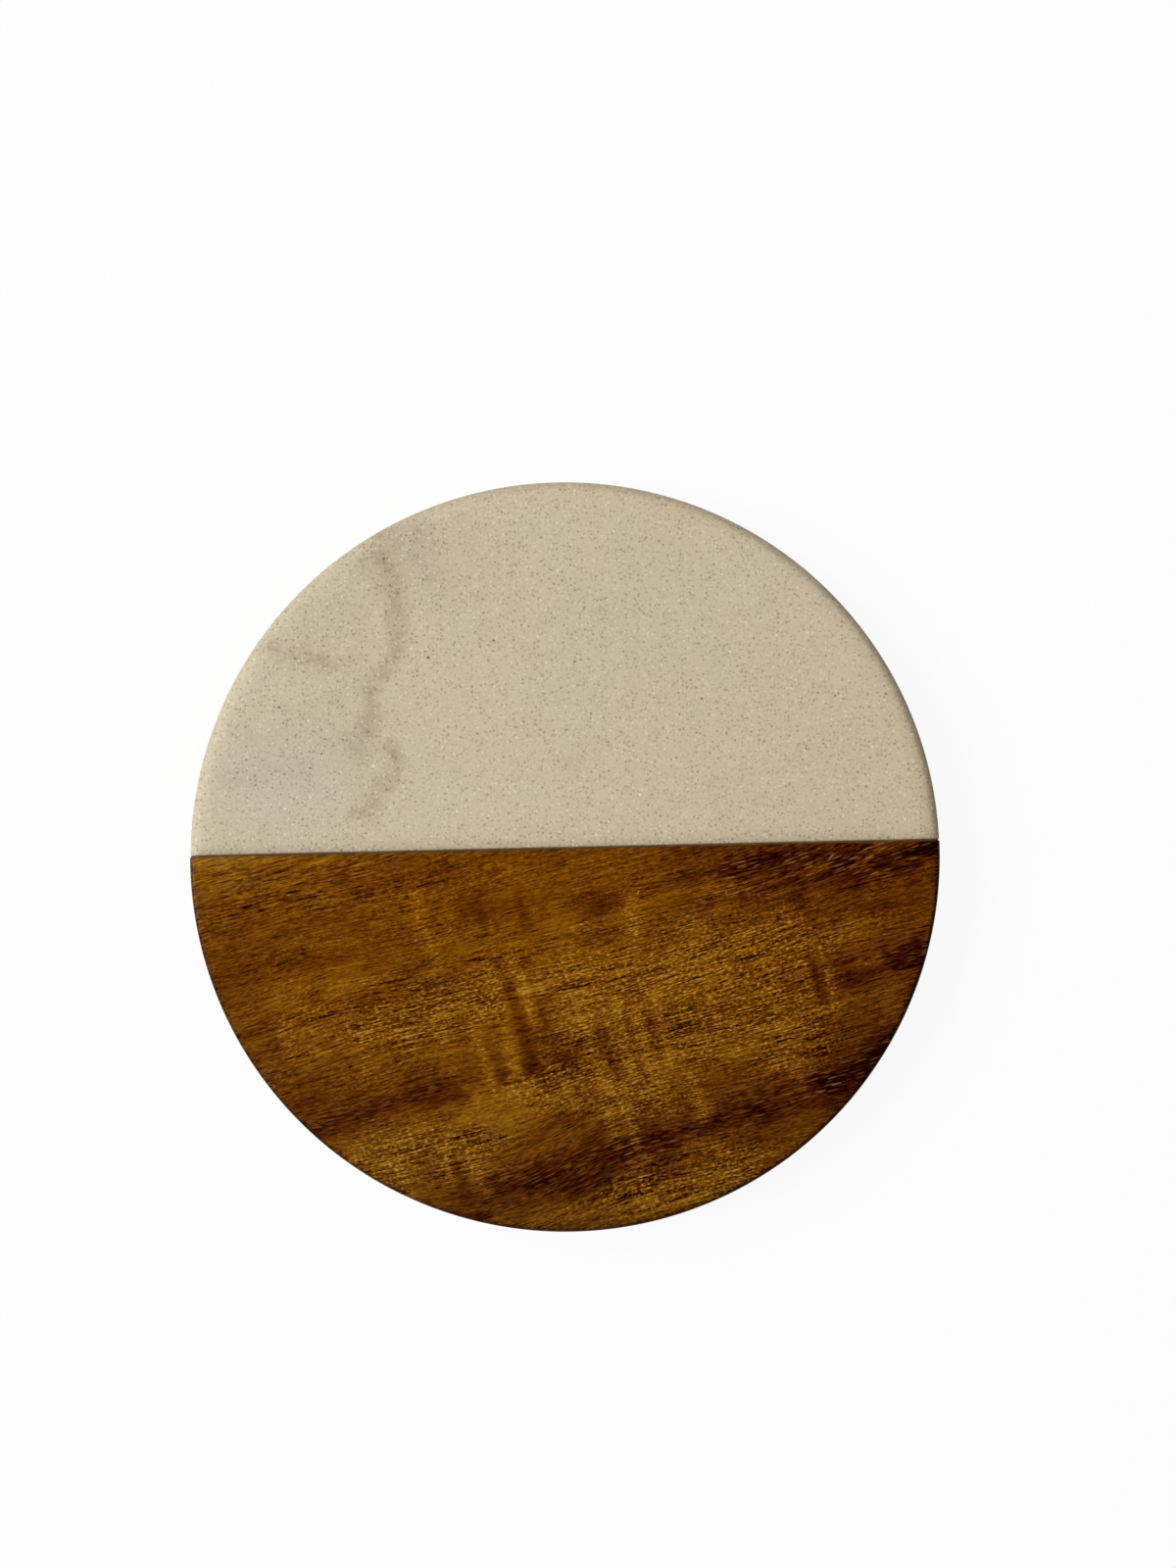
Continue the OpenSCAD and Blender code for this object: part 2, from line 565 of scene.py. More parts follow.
WOOD_LINES = (
    (5.0, -16.9, 20.0, 0.45, 9.5, 0.92),
    (11.5, -15.7, 7.0, 0.4, 12, 0.8),
    (-0.5, -17.6, 7.0, 0.38, 11, 0.8),
    (-11.5, -13.6, 8.0, 0.45, 4, 0.86),
    (-5.0, -18.8, 12.0, 0.38, 5, 0.69),
    (2.2, -23.5, 4.6, 0.4, 14, 0.69),
    (2.4, -24.9, 5.6, 0.4, 9, 0.8),
    (-7.5, -30.4, 6.5, 0.38, 13, 0.69),
    (-20.5, -38.9, 14.0, 0.4, 16, 0.92),
    (-22.0, -40.6, 12.0, 0.38, 17, 0.8),
    (-33.0, -20.8, 9.0, 0.38, 8, 0.8),
    (13.5, -46.8, 13.0, 0.4, 17, 0.86),
    (24.0, -14.2, 14.0, 0.36, 10, 0.63),
    (30.5, -8.0, 12.0, 0.38, 14, 0.57),
    (40.0, -12.2, 9.0, 0.31, 9, 0.69),
    (27.0, -12.3, 9.0, 0.34, 11, 0.63),
    (18.0, -16.6, 8.0, 0.38, 12, 0.86),
    (22.0, -12.6, 1.8, 0.56, 12, 0.8),
    (40.0, -4.6, 10.0, 0.34, 13, 0.69),
    (46.0, -16.0, 4.0, 0.56, 14, 0.92),
    (-36.7, -26.2, 5.0, 0.47, 11, 0.98),
    (-32.5, -25.0, 3.0, 0.4, 11, 0.8),
    (-22.0, -24.2, 8.0, 0.4, 9, 0.92),
    (-28.6, -24.1, 1.8, 0.62, 10, 0.86),
    (-28.8, -22.6, 1.8, 0.4, 10, 0.86),
    (-29.7, -27.7, 1.0, 0.56, 20, 0.92),
    (-25.9, -17.8, 2.6, 0.45, 12, 0.8),
    (-15.5, -37.6, 10.0, 0.4, 13, 0.92),
    (-16.5, -41.4, 8.0, 0.38, 14, 0.8),
    (4.6, -33.1, 8.0, 0.38, 14, 0.8),
    (-44.2, -2.2, 1.8, 0.4, 6, 0.98),
    (-39.8, -2.2, 3.6, 0.34, 12, 0.8),
    (-38.6, -1.1, 3.0, 0.31, 11, 0.86),
    (-37.2, -3.9, 2.0, 0.56, 18, 0.86),
    (-43.2, -5.8, 2.0, 0.56, 14, 0.98),
    (-40.8, -6.2, 2.0, 0.45, 14, 0.86),
    (-34.2, -4.6, 2.0, 0.38, 10, 0.8),
    (-27.8, -3.4, 1.6, 0.45, 8, 0.86),
    (-24.0, 0.5, 2.0, 0.34, 8, 0.86),
    (-43.6, 0.1, 2.0, 0.29, 10, 0.8),
)


@dataclass(frozen=True)
class HonedStone(Finish):
    """Fine-grained beige stone, sawn and honed.

    To the eye it is matt and slightly warm, with fine brown and grey grains, a few black
    specks and pale sparkles, and soft grey-brown veins. Real grains are 0.1 to 0.3 mm
    across. They are drawn at about 0.4 mm, the finest that the render shows as grains.

    Attributes:
        level: height of the face that the single specks lie in, in mm.
        body: colour of the ground mass.
        vein: colour of the veins, and of the painted shade along the joint and on the upper rim.
        lilac: tint of the cool grey places.
        blush: tint of the warm places.
        moss: tint of the greenish places.
        brown: colour of the brown grains.
        grey: colour of the grey grains.
        pale: colour of the pale grains.
        speck: colour of the single black grains.
        sparkle: colour of the single pale grains.
        brown_mm: distance between two brown grains, and width of one.
        grey_mm: the same for the grey grains.
        pale_mm: the same for the pale grains.
        felt_mm: size of the finest mottle.
        cloud_mm: size of the widest mottle.
        roughness: of the honed face.
    """

    level: float
    body: str = "#cfc2a5"
    vein: str = "#7e6850"
    lilac: str = "#c2b8aa"
    blush: str = "#cdb598"
    moss: str = "#c3bd97"
    brown: str = "#6f5b40"
    grey: str = "#77705a"
    pale: str = "#e6ddc4"
    speck: str = "#3c352b"
    sparkle: str = "#f2ecdc"
    brown_mm: Pair = (0.57, 0.46)
    grey_mm: Pair = (0.46, 0.38)
    pale_mm: Pair = (0.6, 0.44)
    felt_mm: float = 0.45
    cloud_mm: float = 2.6
    roughness: float = 0.6

    def surface(self, tree: Tree) -> dict:
        """Lays tints, veins, mottle, grains, specks and sparkles over the body colour.

        Args:
            tree: the material's node tree.

        Returns:
            The shader's inputs.
        """
        where = millimetres(tree)
        vein, edge, rim_shade, lilac, blush, moss = (
            add(tree, "ShaderNodeAttribute", out="Fac", attribute_name=name)
            for name in ("vein", "edge", "rim_shade", "lilac", "blush", "moss")
        )
        colour: Socket | tuple = linear(self.body)
        for amount, tint in ((lilac, self.lilac), (blush, self.blush), (moss, self.moss)):
            colour = laid(tree, colour, amount, tint)
        cloud = bumps(tree, where, (self.cloud_mm,) * 3, detail=2.0)
        felt = bumps(tree, where, (self.felt_mm,) * 3, detail=1.0)
        # The veins darken the body, and the two edge fields paint shade along the joint and on the round
        # upper rim
        shade = weighted(
            tree, 0.06, (vein, 0.42), (edge, 0.42), (rim_shade, 0.32), (cloud, 0.035), (felt, 0.12)
        )
        colour = laid(tree, colour, shade, self.vein)
        # Grains crowd in the veins, and along the joint as more of its painted shade
        crowd = weighted(tree, 0.85, (cloud, 0.25), (vein, 0.2), (edge, 0.4))
        brown = self.grains(tree, where, self.brown_mm, 3.0, crowd)
        grey = self.grains(tree, where, self.grey_mm, 11.0, crowd)
        pale = self.grains(tree, where, self.pale_mm, 5.0, 1.0)
        kinds = ((brown, 0.6, self.brown), (grey, 0.48, self.grey), (pale, 0.56, self.pale))
        for grains, share, tint in kinds:
            colour = laid(tree, colour, weighted(tree, 0.0, (grains, share)), tint)
        for table, tint in ((BLACK_SPECKS, self.speck), (WHITE_SPARKLES, self.sparkle)):
            colour = laid(tree, colour, placed_marks(tree, where, table, self.level), tint)
        height = weighted(tree, 0.0, (felt, 0.4), (brown, -0.6))
        pitted = {"Height": height, "Strength": 0.12, "Distance": 0.03 * MM}
        relief = add(tree, "ShaderNodeBump", pitted)
        return {
            "Base Color": colour,
            "Roughness": weighted(tree, self.roughness, (felt, 0.06)),
            "Normal": relief,
            "Specular IOR Level": 0.25,
        }

    @staticmethod
    def grains(tree: Tree, where: Socket, sizes: Pair, shift: float, crowd: Socket | float) -> Socket:
        """Adds one kind of grain.

        Args:
            tree: the material's node tree.
            where: the place, in mm.
            sizes: the distance between two grains and the width of one, in mm.
            shift: sets this kind apart from the others.
            crowd: how strong the grains are here.

        Returns:
            The strength of the grains.
        """
        apart, wide = sizes
        grains = marks(tree, where, (apart,) * 3, (wide,) * 3, shift=shift, rare=0.1)
        return weighted(tree, 0.0, (grains, crowd))


@dataclass(frozen=True)
class OiledAcacia(Finish):
    """Acacia with curly figure, sanded and oiled.

    To the eye it is a deep golden brown that runs to black-brown, with dark pores along
    the grain, fine fibres, pale tan dashes where the grain dives, and rows of small pale
    strokes, flecks and sparkles where it curls. These strokes, flecks and sparkles, and the
    light and dark bands of the curl, are painted sheen and reflection, where the turned
    fibres catch the light. Towards the lower rim the brown is duller and a little more
    olive. The oil leaves a low silky gloss, and the rim is drawn darker than the face. Real
    fibres are 0.02 mm wide and pores 0.13 to 0.2 mm. They are drawn at 0.14 to 0.4 mm, the
    finest that the render shows.

    Attributes:
        level: height of the top face, in mm.
        lightness: the colours from the darkest wood to the palest, by place from 0 to 1.
        sheen: colour of the painted highlights: the flecks and sparkles where the curled fibres catch the
            light.
        tan: colour of the dashes where the fibres dive.
        scratch: colour of the scratches.
        mean: the place in lightness of wood with no tone of its own.
        roughness: of the oiled face.
    """

    level: float
    lightness: tuple[tuple[float, str], ...] = (
        (0.03, "#180300"),
        (0.114, "#2b0700"),
        (0.179, "#390f00"),
        (0.25, "#451a00"),
        (0.357, "#572900"),
        (0.429, "#643300"),
        (0.5, "#703d00"),
        (0.6, "#7e4b00"),
        (0.7, "#8b5702"),
        (0.86, "#9d690e"),
        (1.0, "#b6852e"),
    )
    sheen: str = "#be8830"
    tan: str = "#ad733c"
    scratch: str = "#c9a878"
    mean: float = 0.457
    roughness: float = 0.24

    def surface(self, tree: Tree) -> dict:
        """Adds up streaks, fibres, strokes and pores to a lightness, and colours it.

        Sizes are along the grain, across it and down, in mm. Flecks, sparkles and dashes are
        laid over in tints of their own.

        Args:
            tree: the material's node tree.

        Returns:
            The shader's inputs.
        """
        grain = add(tree, "ShaderNodeAttribute", out="Vector", attribute_name="grain")
        tone, silk, dash, dull, rim = (
            add(tree, "ShaderNodeAttribute", out="Fac", attribute_name=name)
            for name in ("tone", "silk", "dash", "dull", "rim")
        )
        along, across, depth = (
            add(tree, "ShaderNodeSeparateXYZ", {"Vector": grain}, out=part) for part in ("X", "Y", "Z")
        )
        sheared = weighted(tree, 0.0, (along, 1.0), (across, 0.31))
        curled = add(tree, "ShaderNodeCombineXYZ", {"X": sheared, "Y": across, "Z": depth})
        # Growth bands and streaks, then fibres, single hairs and threads
        wide = bumps(tree, grain, (26.0, 2.0, 2.0), detail=2.0)
        streak = bumps(tree, grain, (9.0, 0.7, 0.7), detail=2.0)
        fibre = bumps(tree, grain, (2.6, 0.32, 0.32), detail=1.0)
        hair = bumps(tree, grain, (0.9, 0.22, 0.3), detail=1.0)
        threads = bumps(tree, grain, (6.0, 0.22, 0.4), detail=1.0)
        tight = weighted(tree, 0.06, (silk, 1.2), (dash, 0.7))
        threads = weighted(tree, 0.0, (threads, tight))
        # Speckle, and painted sheen where the fibres curl to the surface: glints, short pale strokes,
        # flecks and sparkles that catch the light
        speckle = bumps(tree, grain, (0.62, 0.24, 0.3), detail=2.0)
        speckle = add(tree, "ShaderNodeMath", {0: speckle, 1: -0.1}, operation="MAXIMUM")
        speckle = weighted(tree, 0.0, (speckle, silk))
        glints = weighted(tree, 0.0, (speckle, speckle))
        strokes = marks(tree, curled, (0.44, 0.74, 2.0), (0.3, 0.85, 3.0), shift=1.0, spread=0.75)
        strokes = weighted(tree, 0.0, (strokes, silk))
        flecks = marks(tree, grain, (0.9, 0.34, 0.5), (0.85, 0.2, 0.8), shift=7.0, rare=0.2)
        flecks = weighted(tree, 0.0, (flecks, silk))
        sparkles = marks(tree, grain, (0.6, 0.4, 0.5), (0.48, 0.24, 0.8), shift=23.0, rare=0.5)
        sparkles = weighted(tree, 0.0, (sparkles, silk))
        # Fine ribs and long pale dashes, where they dive
        ribs = bumps(tree, grain, (1.4, 0.14, 0.3), detail=1.0)
        ribs = weighted(tree, 0.0, (ribs, dash))
        dashes = marks(tree, grain, (2.1, 0.46, 0.5), (1.9, 0.25, 0.8), shift=13.0, rare=0.25)
        dashes = weighted(tree, 0.0, (dashes, dash))
        # Open pores, filled ones, and the long dark lines
        pores = marks(tree, grain, (4.5, 0.9, 0.5), (2.6, 0.28, 0.8), shift=5.0, rare=0.3)
        faint = marks(tree, grain, (2.2, 0.5, 0.4), (1.6, 0.24, 0.6), shift=9.0, rare=0.2)
        vessels = marks(tree, grain, (9.0, 1.3, 0.6), (8.0, 0.4, 1.0), shift=17.0, rare=0.3)
        lines = placed_marks(tree, millimetres(tree), WOOD_LINES, self.level)
        lines = weighted(tree, 0.0, (lines, 1.0), (vessels, 0.28))
        broken = weighted(tree, 0.8, (fibre, 0.5))
        lines = weighted(tree, 0.0, (lines, broken))
        ground = weighted(
            tree,
            self.mean,
            (tone, 0.295),
            (wide, 0.05),
            (streak, 0.07),
            (fibre, 0.12),
            (hair, 0.2),
            (threads, 0.36),
            (silk, -0.03),
            (speckle, 0.76),
            (glints, 0.5),
            (strokes, 0.12),
            (ribs, 0.26),
            (dash, -0.03),
            (pores, -0.3),
            (faint, -0.16),
            (lines, -0.46),
            (rim, -0.3),
        )
        # Painted highlights: the flecks and sparkles, laid in the sheen colour
        pale = weighted(tree, 0.0, (flecks, 0.16), (sparkles, 0.6))
        height = weighted(tree, 0.0, (fibre, 0.3), (pores, -1.0), (faint, -0.5), (strokes, 0.3))
        pitted = {"Height": height, "Strength": 0.3, "Distance": 0.03 * MM}
        relief = add(tree, "ShaderNodeBump", pitted)
        colour = laid(tree, colours(tree, ground, self.lightness), pale, self.sheen)
        colour = laid(tree, colour, weighted(tree, 0.0, (dashes, 0.62)), self.tan)
        # Dull wood is a little darker, greyer and more olive
        cast = {"Hue": 0.507, "Saturation": 0.98, "Value": 0.9, "Fac": dull, "Color": colour}
        colour = add(tree, "ShaderNodeHueSaturation", cast)
        scratches = placed_marks(tree, millimetres(tree), WOOD_SCRATCHES, self.level)
        return {
            "Base Color": laid(tree, colour, scratches, self.scratch),
            "Roughness": weighted(tree, self.roughness, (fibre, 0.04), (pores, 0.1)),
            "Normal": relief,
            "Specular IOR Level": 0.05,
        }


@dataclass(frozen=True)
class CastResin(Finish):
    """Dark epoxy resin, cured in the joint: a dark brown line with a faint gloss.

    Attributes:
        colour: of the clear resin over the dark joint.
        haze: of the stretches where dust has settled in it.
    """

    colour: str = "#543910"
    haze: str = "#7a5a2c"

    def surface(self, tree: Tree) -> dict:
        """Mixes the dark resin with haze in short stretches along the joint.

        Args:
            tree: the material's node tree.

        Returns:
            The shader's inputs.
        """
        where = millimetres(tree)
        haze = bumps(tree, where, (3.0, 0.5, 0.5), detail=3.0)
        amount = add(tree, "ShaderNodeMapRange", {"Value": haze, "From Min": 0.15, "From Max": 0.9})
        colour = laid(tree, linear(self.colour), amount, self.haze)
        return {
            "Base Color": colour,
            "Roughness": weighted(tree, 0.5, (haze, 0.1)),
            "Specular IOR Level": 0.2,
        }


@dataclass(frozen=True)
class BareBeech(Finish):
    """Beech, turned and pressed: a pale pinkish tan with short brown flecks along the dowel.

    Attributes:
        colour: of the bare wood.
        fleck: of its streaks and flecks.
    """

    colour: str = "#d9b98a"
    fleck: str = "#8e6138"

    def surface(self, tree: Tree) -> dict:
        """Lays growth streaks and flecks along Y over the pale wood.

        Args:
            tree: the material's node tree.

        Returns:
            The shader's inputs.
        """
        where = millimetres(tree)
        streak = bumps(tree, where, (0.6, 9.0, 0.6), detail=3.0)
        flecks = marks(tree, where, (0.5, 1.6, 0.5), (0.16, 1.1, 0.5), rare=0.3)
        amount = weighted(tree, 0.08, (streak, 0.13), (flecks, 0.5))
        colour = laid(tree, linear(self.colour), amount, self.fleck)
        relief = add(tree, "ShaderNodeBump", {"Height": streak, "Strength": 0.3, "Distance": 0.02 * MM})
        return {"Base Color": colour, "Roughness": 0.7, "Normal": relief}


@dataclass(frozen=True)
class MouldedRubber(Finish):
    """Soft black rubber, moulded in a spark-eroded mould: matt, with a fine even grain.

    Attributes:
        colour: of the rubber.
        dust: of the dust that has settled on it.
        pit_mm: width of a pit of the mould's texture. A real one is about 0.05 mm, and it
            is drawn at 0.18 mm, the finest that the render shows.
    """

    colour: str = "#222226"
    dust: str = "#4a4a4c"
    pit_mm: float = 0.18

    def surface(self, tree: Tree) -> dict:
        """Lays a fine grain and a trace of dust over the black.

        Args:
            tree: the material's node tree.

        Returns:
            The shader's inputs.
        """
        where = millimetres(tree)
        pits = bumps(tree, where, (self.pit_mm,) * 3, detail=1.0)
        dust = bumps(tree, where, (2.0,) * 3, detail=4.0)
        amount = weighted(tree, 0.2, (dust, 0.3), (pits, 0.1))
        relief = add(tree, "ShaderNodeBump", {"Height": pits, "Strength": 0.5, "Distance": 0.015 * MM})
        colour = laid(tree, linear(self.colour), amount, self.dust)
        return {"Base Color": colour, "Roughness": weighted(tree, 0.72, (dust, 0.07)), "Normal": relief}


@dataclass(frozen=True)
class AcrylicFoamTape(Finish):
    """Double-sided acrylic tape: a milky, faintly bubbled film.

    Real bubbles are 0.05 to 0.1 mm across. They are drawn at 0.2 mm, so that they show.

    Attributes:
        colour: of the film.
        bubble: of the closed bubbles in it.
    """

    colour: str = "#c9c7bf"
    bubble: str = "#a9a69b"

    def surface(self, tree: Tree) -> dict:
        """Lays tiny closed bubbles over the milky film.

        Args:
            tree: the material's node tree.

        Returns:
            The shader's inputs.
        """
        where = millimetres(tree)
        bubbles = marks(tree, where, (0.3,) * 3, (0.2,) * 3, rare=0.2)
        colour = laid(tree, linear(self.colour), bubbles, self.bubble)
        return {"Base Color": colour, "Roughness": weighted(tree, 0.5, (bubbles, 0.2))}


# Boards


class MapBand(Enum):
    """Part of the texture map's height that each part of a half's surface takes."""

    TOP = (0.01, 0.61)
    WALL = (0.63, 0.73)
    BORES = (0.735, 0.747)
    UNDER = (0.75, 0.99)

    def at(self, share: np.ndarray) -> np.ndarray:
        """The height on the map at a share of the way through the band."""
        low, high = self.value
        return low + (high - low) * share

    def rows(self, count: int) -> np.ndarray:
        """The heights of evenly spaced rows, as a column."""
        return self.at(np.linspace(0, 1, count))[:, None]


@dataclass(frozen=True)
class DowelBore:
    """Blind hole for half a dowel, drilled from the joint's face. Sizes in mm.

    Attributes:
        node: the dowel that it holds.
        window: half width of the opening left for its mouth in the joint's face, as a
            share of the mouth's radius.
        clearance: room all round the dowel.
        end_gap: room past the dowel's end.
        rings: rings of points down its wall.
        countersink: width and depth of the bevel at the mouth.
        point_angle: full angle of the drill's point, in degrees.
    """

    node: str
    window: float = 1.15
    clearance: float = 0.05
    end_gap: float = 0.6
    rings: int = 4
    countersink: float = 0.6
    point_angle: float = 118.0

    def middle(self) -> Pair:
        """The axis's X and Z."""
        low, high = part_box(self.node)
        return (low.x + high.x) / 2 / MM, (low.z + high.z) / 2 / MM

    def profile(self, side: Side, joint: float) -> list[Pair]:
        """Radius and depth below the joint's face at each ring, from the mouth to the point.

        Args:
            side: the half that is bored.
            joint: how far the joint's face lies from the middle, outwards.

        Returns:
            Pairs of radius and depth.
        """
        low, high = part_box(self.node)
        radius = (high.z - low.z) / 2 / MM + self.clearance
        end = max(low.y * side.value, high.y * side.value) / MM - joint + self.end_gap
        point = radius / math.tan(math.radians(self.point_angle / 2))
        mouth = [(radius + self.countersink, 0.0), (radius, self.countersink)]
        wall = [(radius, depth) for depth in np.linspace(self.countersink, end, self.rings + 1)[1:]]
        return mouth + wall + [(0.0, end + point)]


@dataclass
class HalfBoard:
    """Half of the disc as one closed surface, with a fine grid on its top face. Sizes in mm.

    A level is one closed line round the half: the rim's arc, then the straight joint. The
    levels go up the round lower edge, the side and the round upper edge. The two faces
    are filled by straight rows of points from the joint to the arc.

    Attributes:
        node: the CAD node that it stands for, and its name.
        slot: the record's material slot; it is not used.
        side: the side of the joint that it lies on.
        finish: its finish.
        top_r: radius of the upper edge at the rim.
        under_r: radius of the lower edge at the rim.
        lead_depth: how far the top face falls where the rim's edge begins.
        lead_width: width of the band in which it falls.
        roll_depth: how far the top face falls at the joint.
        roll_width: width of the band in which that happens.
        columns: faces along the arc.
        rows: faces from the joint to the arc.
        bevel: width and depth of the bevels along the joint.
        edge_steps: faces up each round edge.
        wall_steps: faces up the side between them.
        under_rows: faces from the joint to the arc on the underside.
        crowding: how much the rows crowd at the joint and at the rim.
        bores: each bore's dowel, and where its strip starts on the texture map.
        bore_width: width of that strip.
    """

    node: str
    slot: str
    side: Side
    finish: Finish
    top_r: float
    under_r: float
    lead_depth: float
    lead_width: float
    roll_depth: float
    roll_width: float
    columns: int
    rows: int
    bevel: float = 0.12
    edge_steps: int = 10
    wall_steps: int = 10
    under_rows: int = 12
    crowding: float = 0.35
    bores: tuple[tuple[str, float], ...] = (("dowel_left", 0.02), ("dowel_right", 0.52))
    bore_width: float = 0.46

    def __post_init__(self) -> None:
        """Reads the half's box from the frame."""
        low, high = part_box(self.node)
        self.low, self.high = low.z / MM, high.z / MM
        ends = (low.y * self.side.value / MM, high.y * self.side.value / MM)
        self.joint, self.radius = min(ends), max(ends)

    def levels(self) -> tuple[np.ndarray, np.ndarray, np.ndarray]:
        """Height, inset at the rim and inset at the joint of each level.

        A round edge of radius r at the angle p lies r(1 - sin p) inside the rim and
        r(1 - cos p) inside the face. The bevel along the joint falls back by as much as
        the level is nearer to the face than the bevel is wide.

        Returns:
            Three arrays, from the underside to the top face.
        """
        turn = np.radians(np.linspace(0, 90, self.edge_steps + 1))
        rise, inset = 1 - np.cos(turn), 1 - np.sin(turn)
        lower, upper = self.low + self.under_r * rise, self.high - self.top_r * rise[::-1]
        wall = np.linspace(lower[-1], upper[0], self.wall_steps + 1)[1:-1]
        height = np.concatenate([lower, wall, upper])
        rim = np.concatenate([self.under_r * inset, 0 * wall, self.top_r * inset[::-1]])
        back = np.maximum(0, self.bevel - np.minimum(height - self.low, self.high - height))
        return height, rim, back

    def outlines(self) -> tuple[np.ndarray, np.ndarray, np.ndarray]:
        """The arc and the joint's line of each level.

        On a level of radius R whose joint lies at b, the arc runs from the angle
        asin(b / R) to its mirror image in equal steps. The joint's points have
        x = R cos(asin(b / R)) cos(pi k / n), so that they crowd to the ends as the arc's do.

        Returns:
            Arc and joint points (level, column, x and distance outwards), and the heights.
        """
        height, rim, back = self.levels()
        radius, base = self.radius - rim, self.joint + back
        start = np.arcsin(base / radius)[:, None]
        share = np.linspace(0, 1, self.columns + 1)
        angle = start + (np.pi - 2 * start) * share
        arc = np.stack([radius[:, None] * np.cos(angle), radius[:, None] * np.sin(angle)], -1)
        line_x = radius[:, None] * np.cos(start) * np.cos(np.pi * share)
        line = np.stack([line_x, np.broadcast_to(base[:, None], line_x.shape)], -1)
        return arc, line, height

    def placed(self, flat: np.ndarray, height: np.ndarray | float) -> np.ndarray:
        """Turns x and distance outwards into points at a height, on this half's side."""
        z = np.broadcast_to(height, flat.shape[:-1])
        return np.stack([flat[..., 0], flat[..., 1] * self.side.value, z], -1)

    def cap(
        self, work: Patchwork, ring: np.ndarray, arc: np.ndarray, line: np.ndarray, z: float, rows: int
    ) -> np.ndarray:
        """Adds the points inside one face.

        A point is line + w (arc - line). The shares w are t - c sin(2 pi t) / (2 pi) for
        even t, which crowds the rows at the joint and at the rim by the share c.

        Args:
            work: the surface that gets them.
            ring: the vertices of the face's level.
            arc: that level's arc.
            line: that level's joint line.
            z: the face's height.
            rows: faces from the joint to the arc.

        Returns:
            The vertices of the whole face, rows by columns.
        """
        even = np.linspace(0, 1, rows + 1)
        share = even - self.crowding * np.sin(2 * np.pi * even) / (2 * np.pi)
        inner = line[None, 1:-1] + share[1:-1, None, None] * (arc - line)[None, 1:-1]
        index = np.empty((rows + 1, self.columns + 1), int)
        index[:, 0], index[:, -1] = ring[0], ring[self.columns]
        index[0, 1:-1] = ring[: self.columns : -1]
        index[-1] = ring[: self.columns + 1]
        index[1:-1, 1:-1] = work.more(self.placed(inner, z))
        return index

    def bore(
        self, work: Patchwork, stack: np.ndarray, keep: np.ndarray, bore: DowelBore, map_u: float
    ) -> None:
        """Opens a window in the joint's face and lines it with the bore.

        The window is a block of the side's faces round the bore. Its outline is joined to
        a ring of as many points, each at the same angle round the bore's axis, and the
        ring is carried down the bore's profile to its point.

        Args:
            work: the surface that gets the bore.
            stack: the vertices of all levels.
            keep: the side's faces; those of the window are taken out.
            bore: the hole.
            map_u: where its strip starts on the texture map.
        """
        x, z = bore.middle()
        profile = bore.profile(self.side, self.joint)
        bottom, top = self.edge_steps, self.edge_steps + self.wall_steps
        reach = profile[0][0] * bore.window
        line = work.points[stack[bottom], 0]
        on_joint = np.arange(len(line)) > self.columns
        inside = np.flatnonzero(on_joint & (np.abs(line - x) < reach))
        first, last = inside[0], inside[-1]
        keep[bottom:top, first:last] = False
        across, up = np.arange(first, last), np.arange(bottom, top)
        below, above = stack[bottom, across], stack[top, across[::-1] + 1]
        loop = np.concatenate([below, stack[up, last], above, stack[up[::-1] + 1, first]])
        away = work.points[loop]
        angle = np.arctan2(away[:, 2] - z, away[:, 0] - x)
        rows = [loop]
        for radius, depth in profile[:-1]:
            flat = np.stack([x + radius * np.cos(angle), np.full_like(angle, self.joint + depth)], -1)
            rows.append(work.more(self.placed(flat, z + radius * np.sin(angle))))
        tip = work.more(self.placed(np.array([[x, self.joint + profile[-1][1]]]), z))
        rows.append(np.repeat(tip, len(loop)))
        index = closed(np.array(rows))
        u = map_u + np.linspace(0, self.bore_width, index.shape[1])
        work.sheet(index, u, MapBand.BORES.rows(len(rows)))

    def settle(self, points: np.ndarray) -> np.ndarray:
        """Lets the top face fall a little towards the rim and the joint.

        At the distance d inside the start of the round edge, counted in lead_width, the
        face has fallen by lead_depth (1 - d)^3. Past that start the fall goes on as
        lead_depth (1 - 3 d), with d below 0. At the distance e from the joint the face
        falls by roll_depth exp(-(e / roll_width)^2). Down the round edge all this fades out.

        Args:
            points: all vertices.

        Returns:
            The vertices with their new heights.
        """
        x, out, z = points[:, 0], points[:, 1] * self.side.value, points[:, 2]
        weight = np.clip(1 - (self.high - z) / self.top_r, 0, 1)
        inwards = (self.radius - self.top_r - np.hypot(x, out)) / self.lead_width
        fall = self.lead_depth * np.where(inwards > 0, np.clip(1 - inwards, 0, 1) ** 3, 1 - 3 * inwards)
        fall += self.roll_depth * fading(out - self.joint, self.roll_width)
        return np.column_stack([x, points[:, 1], z - weight * fall])

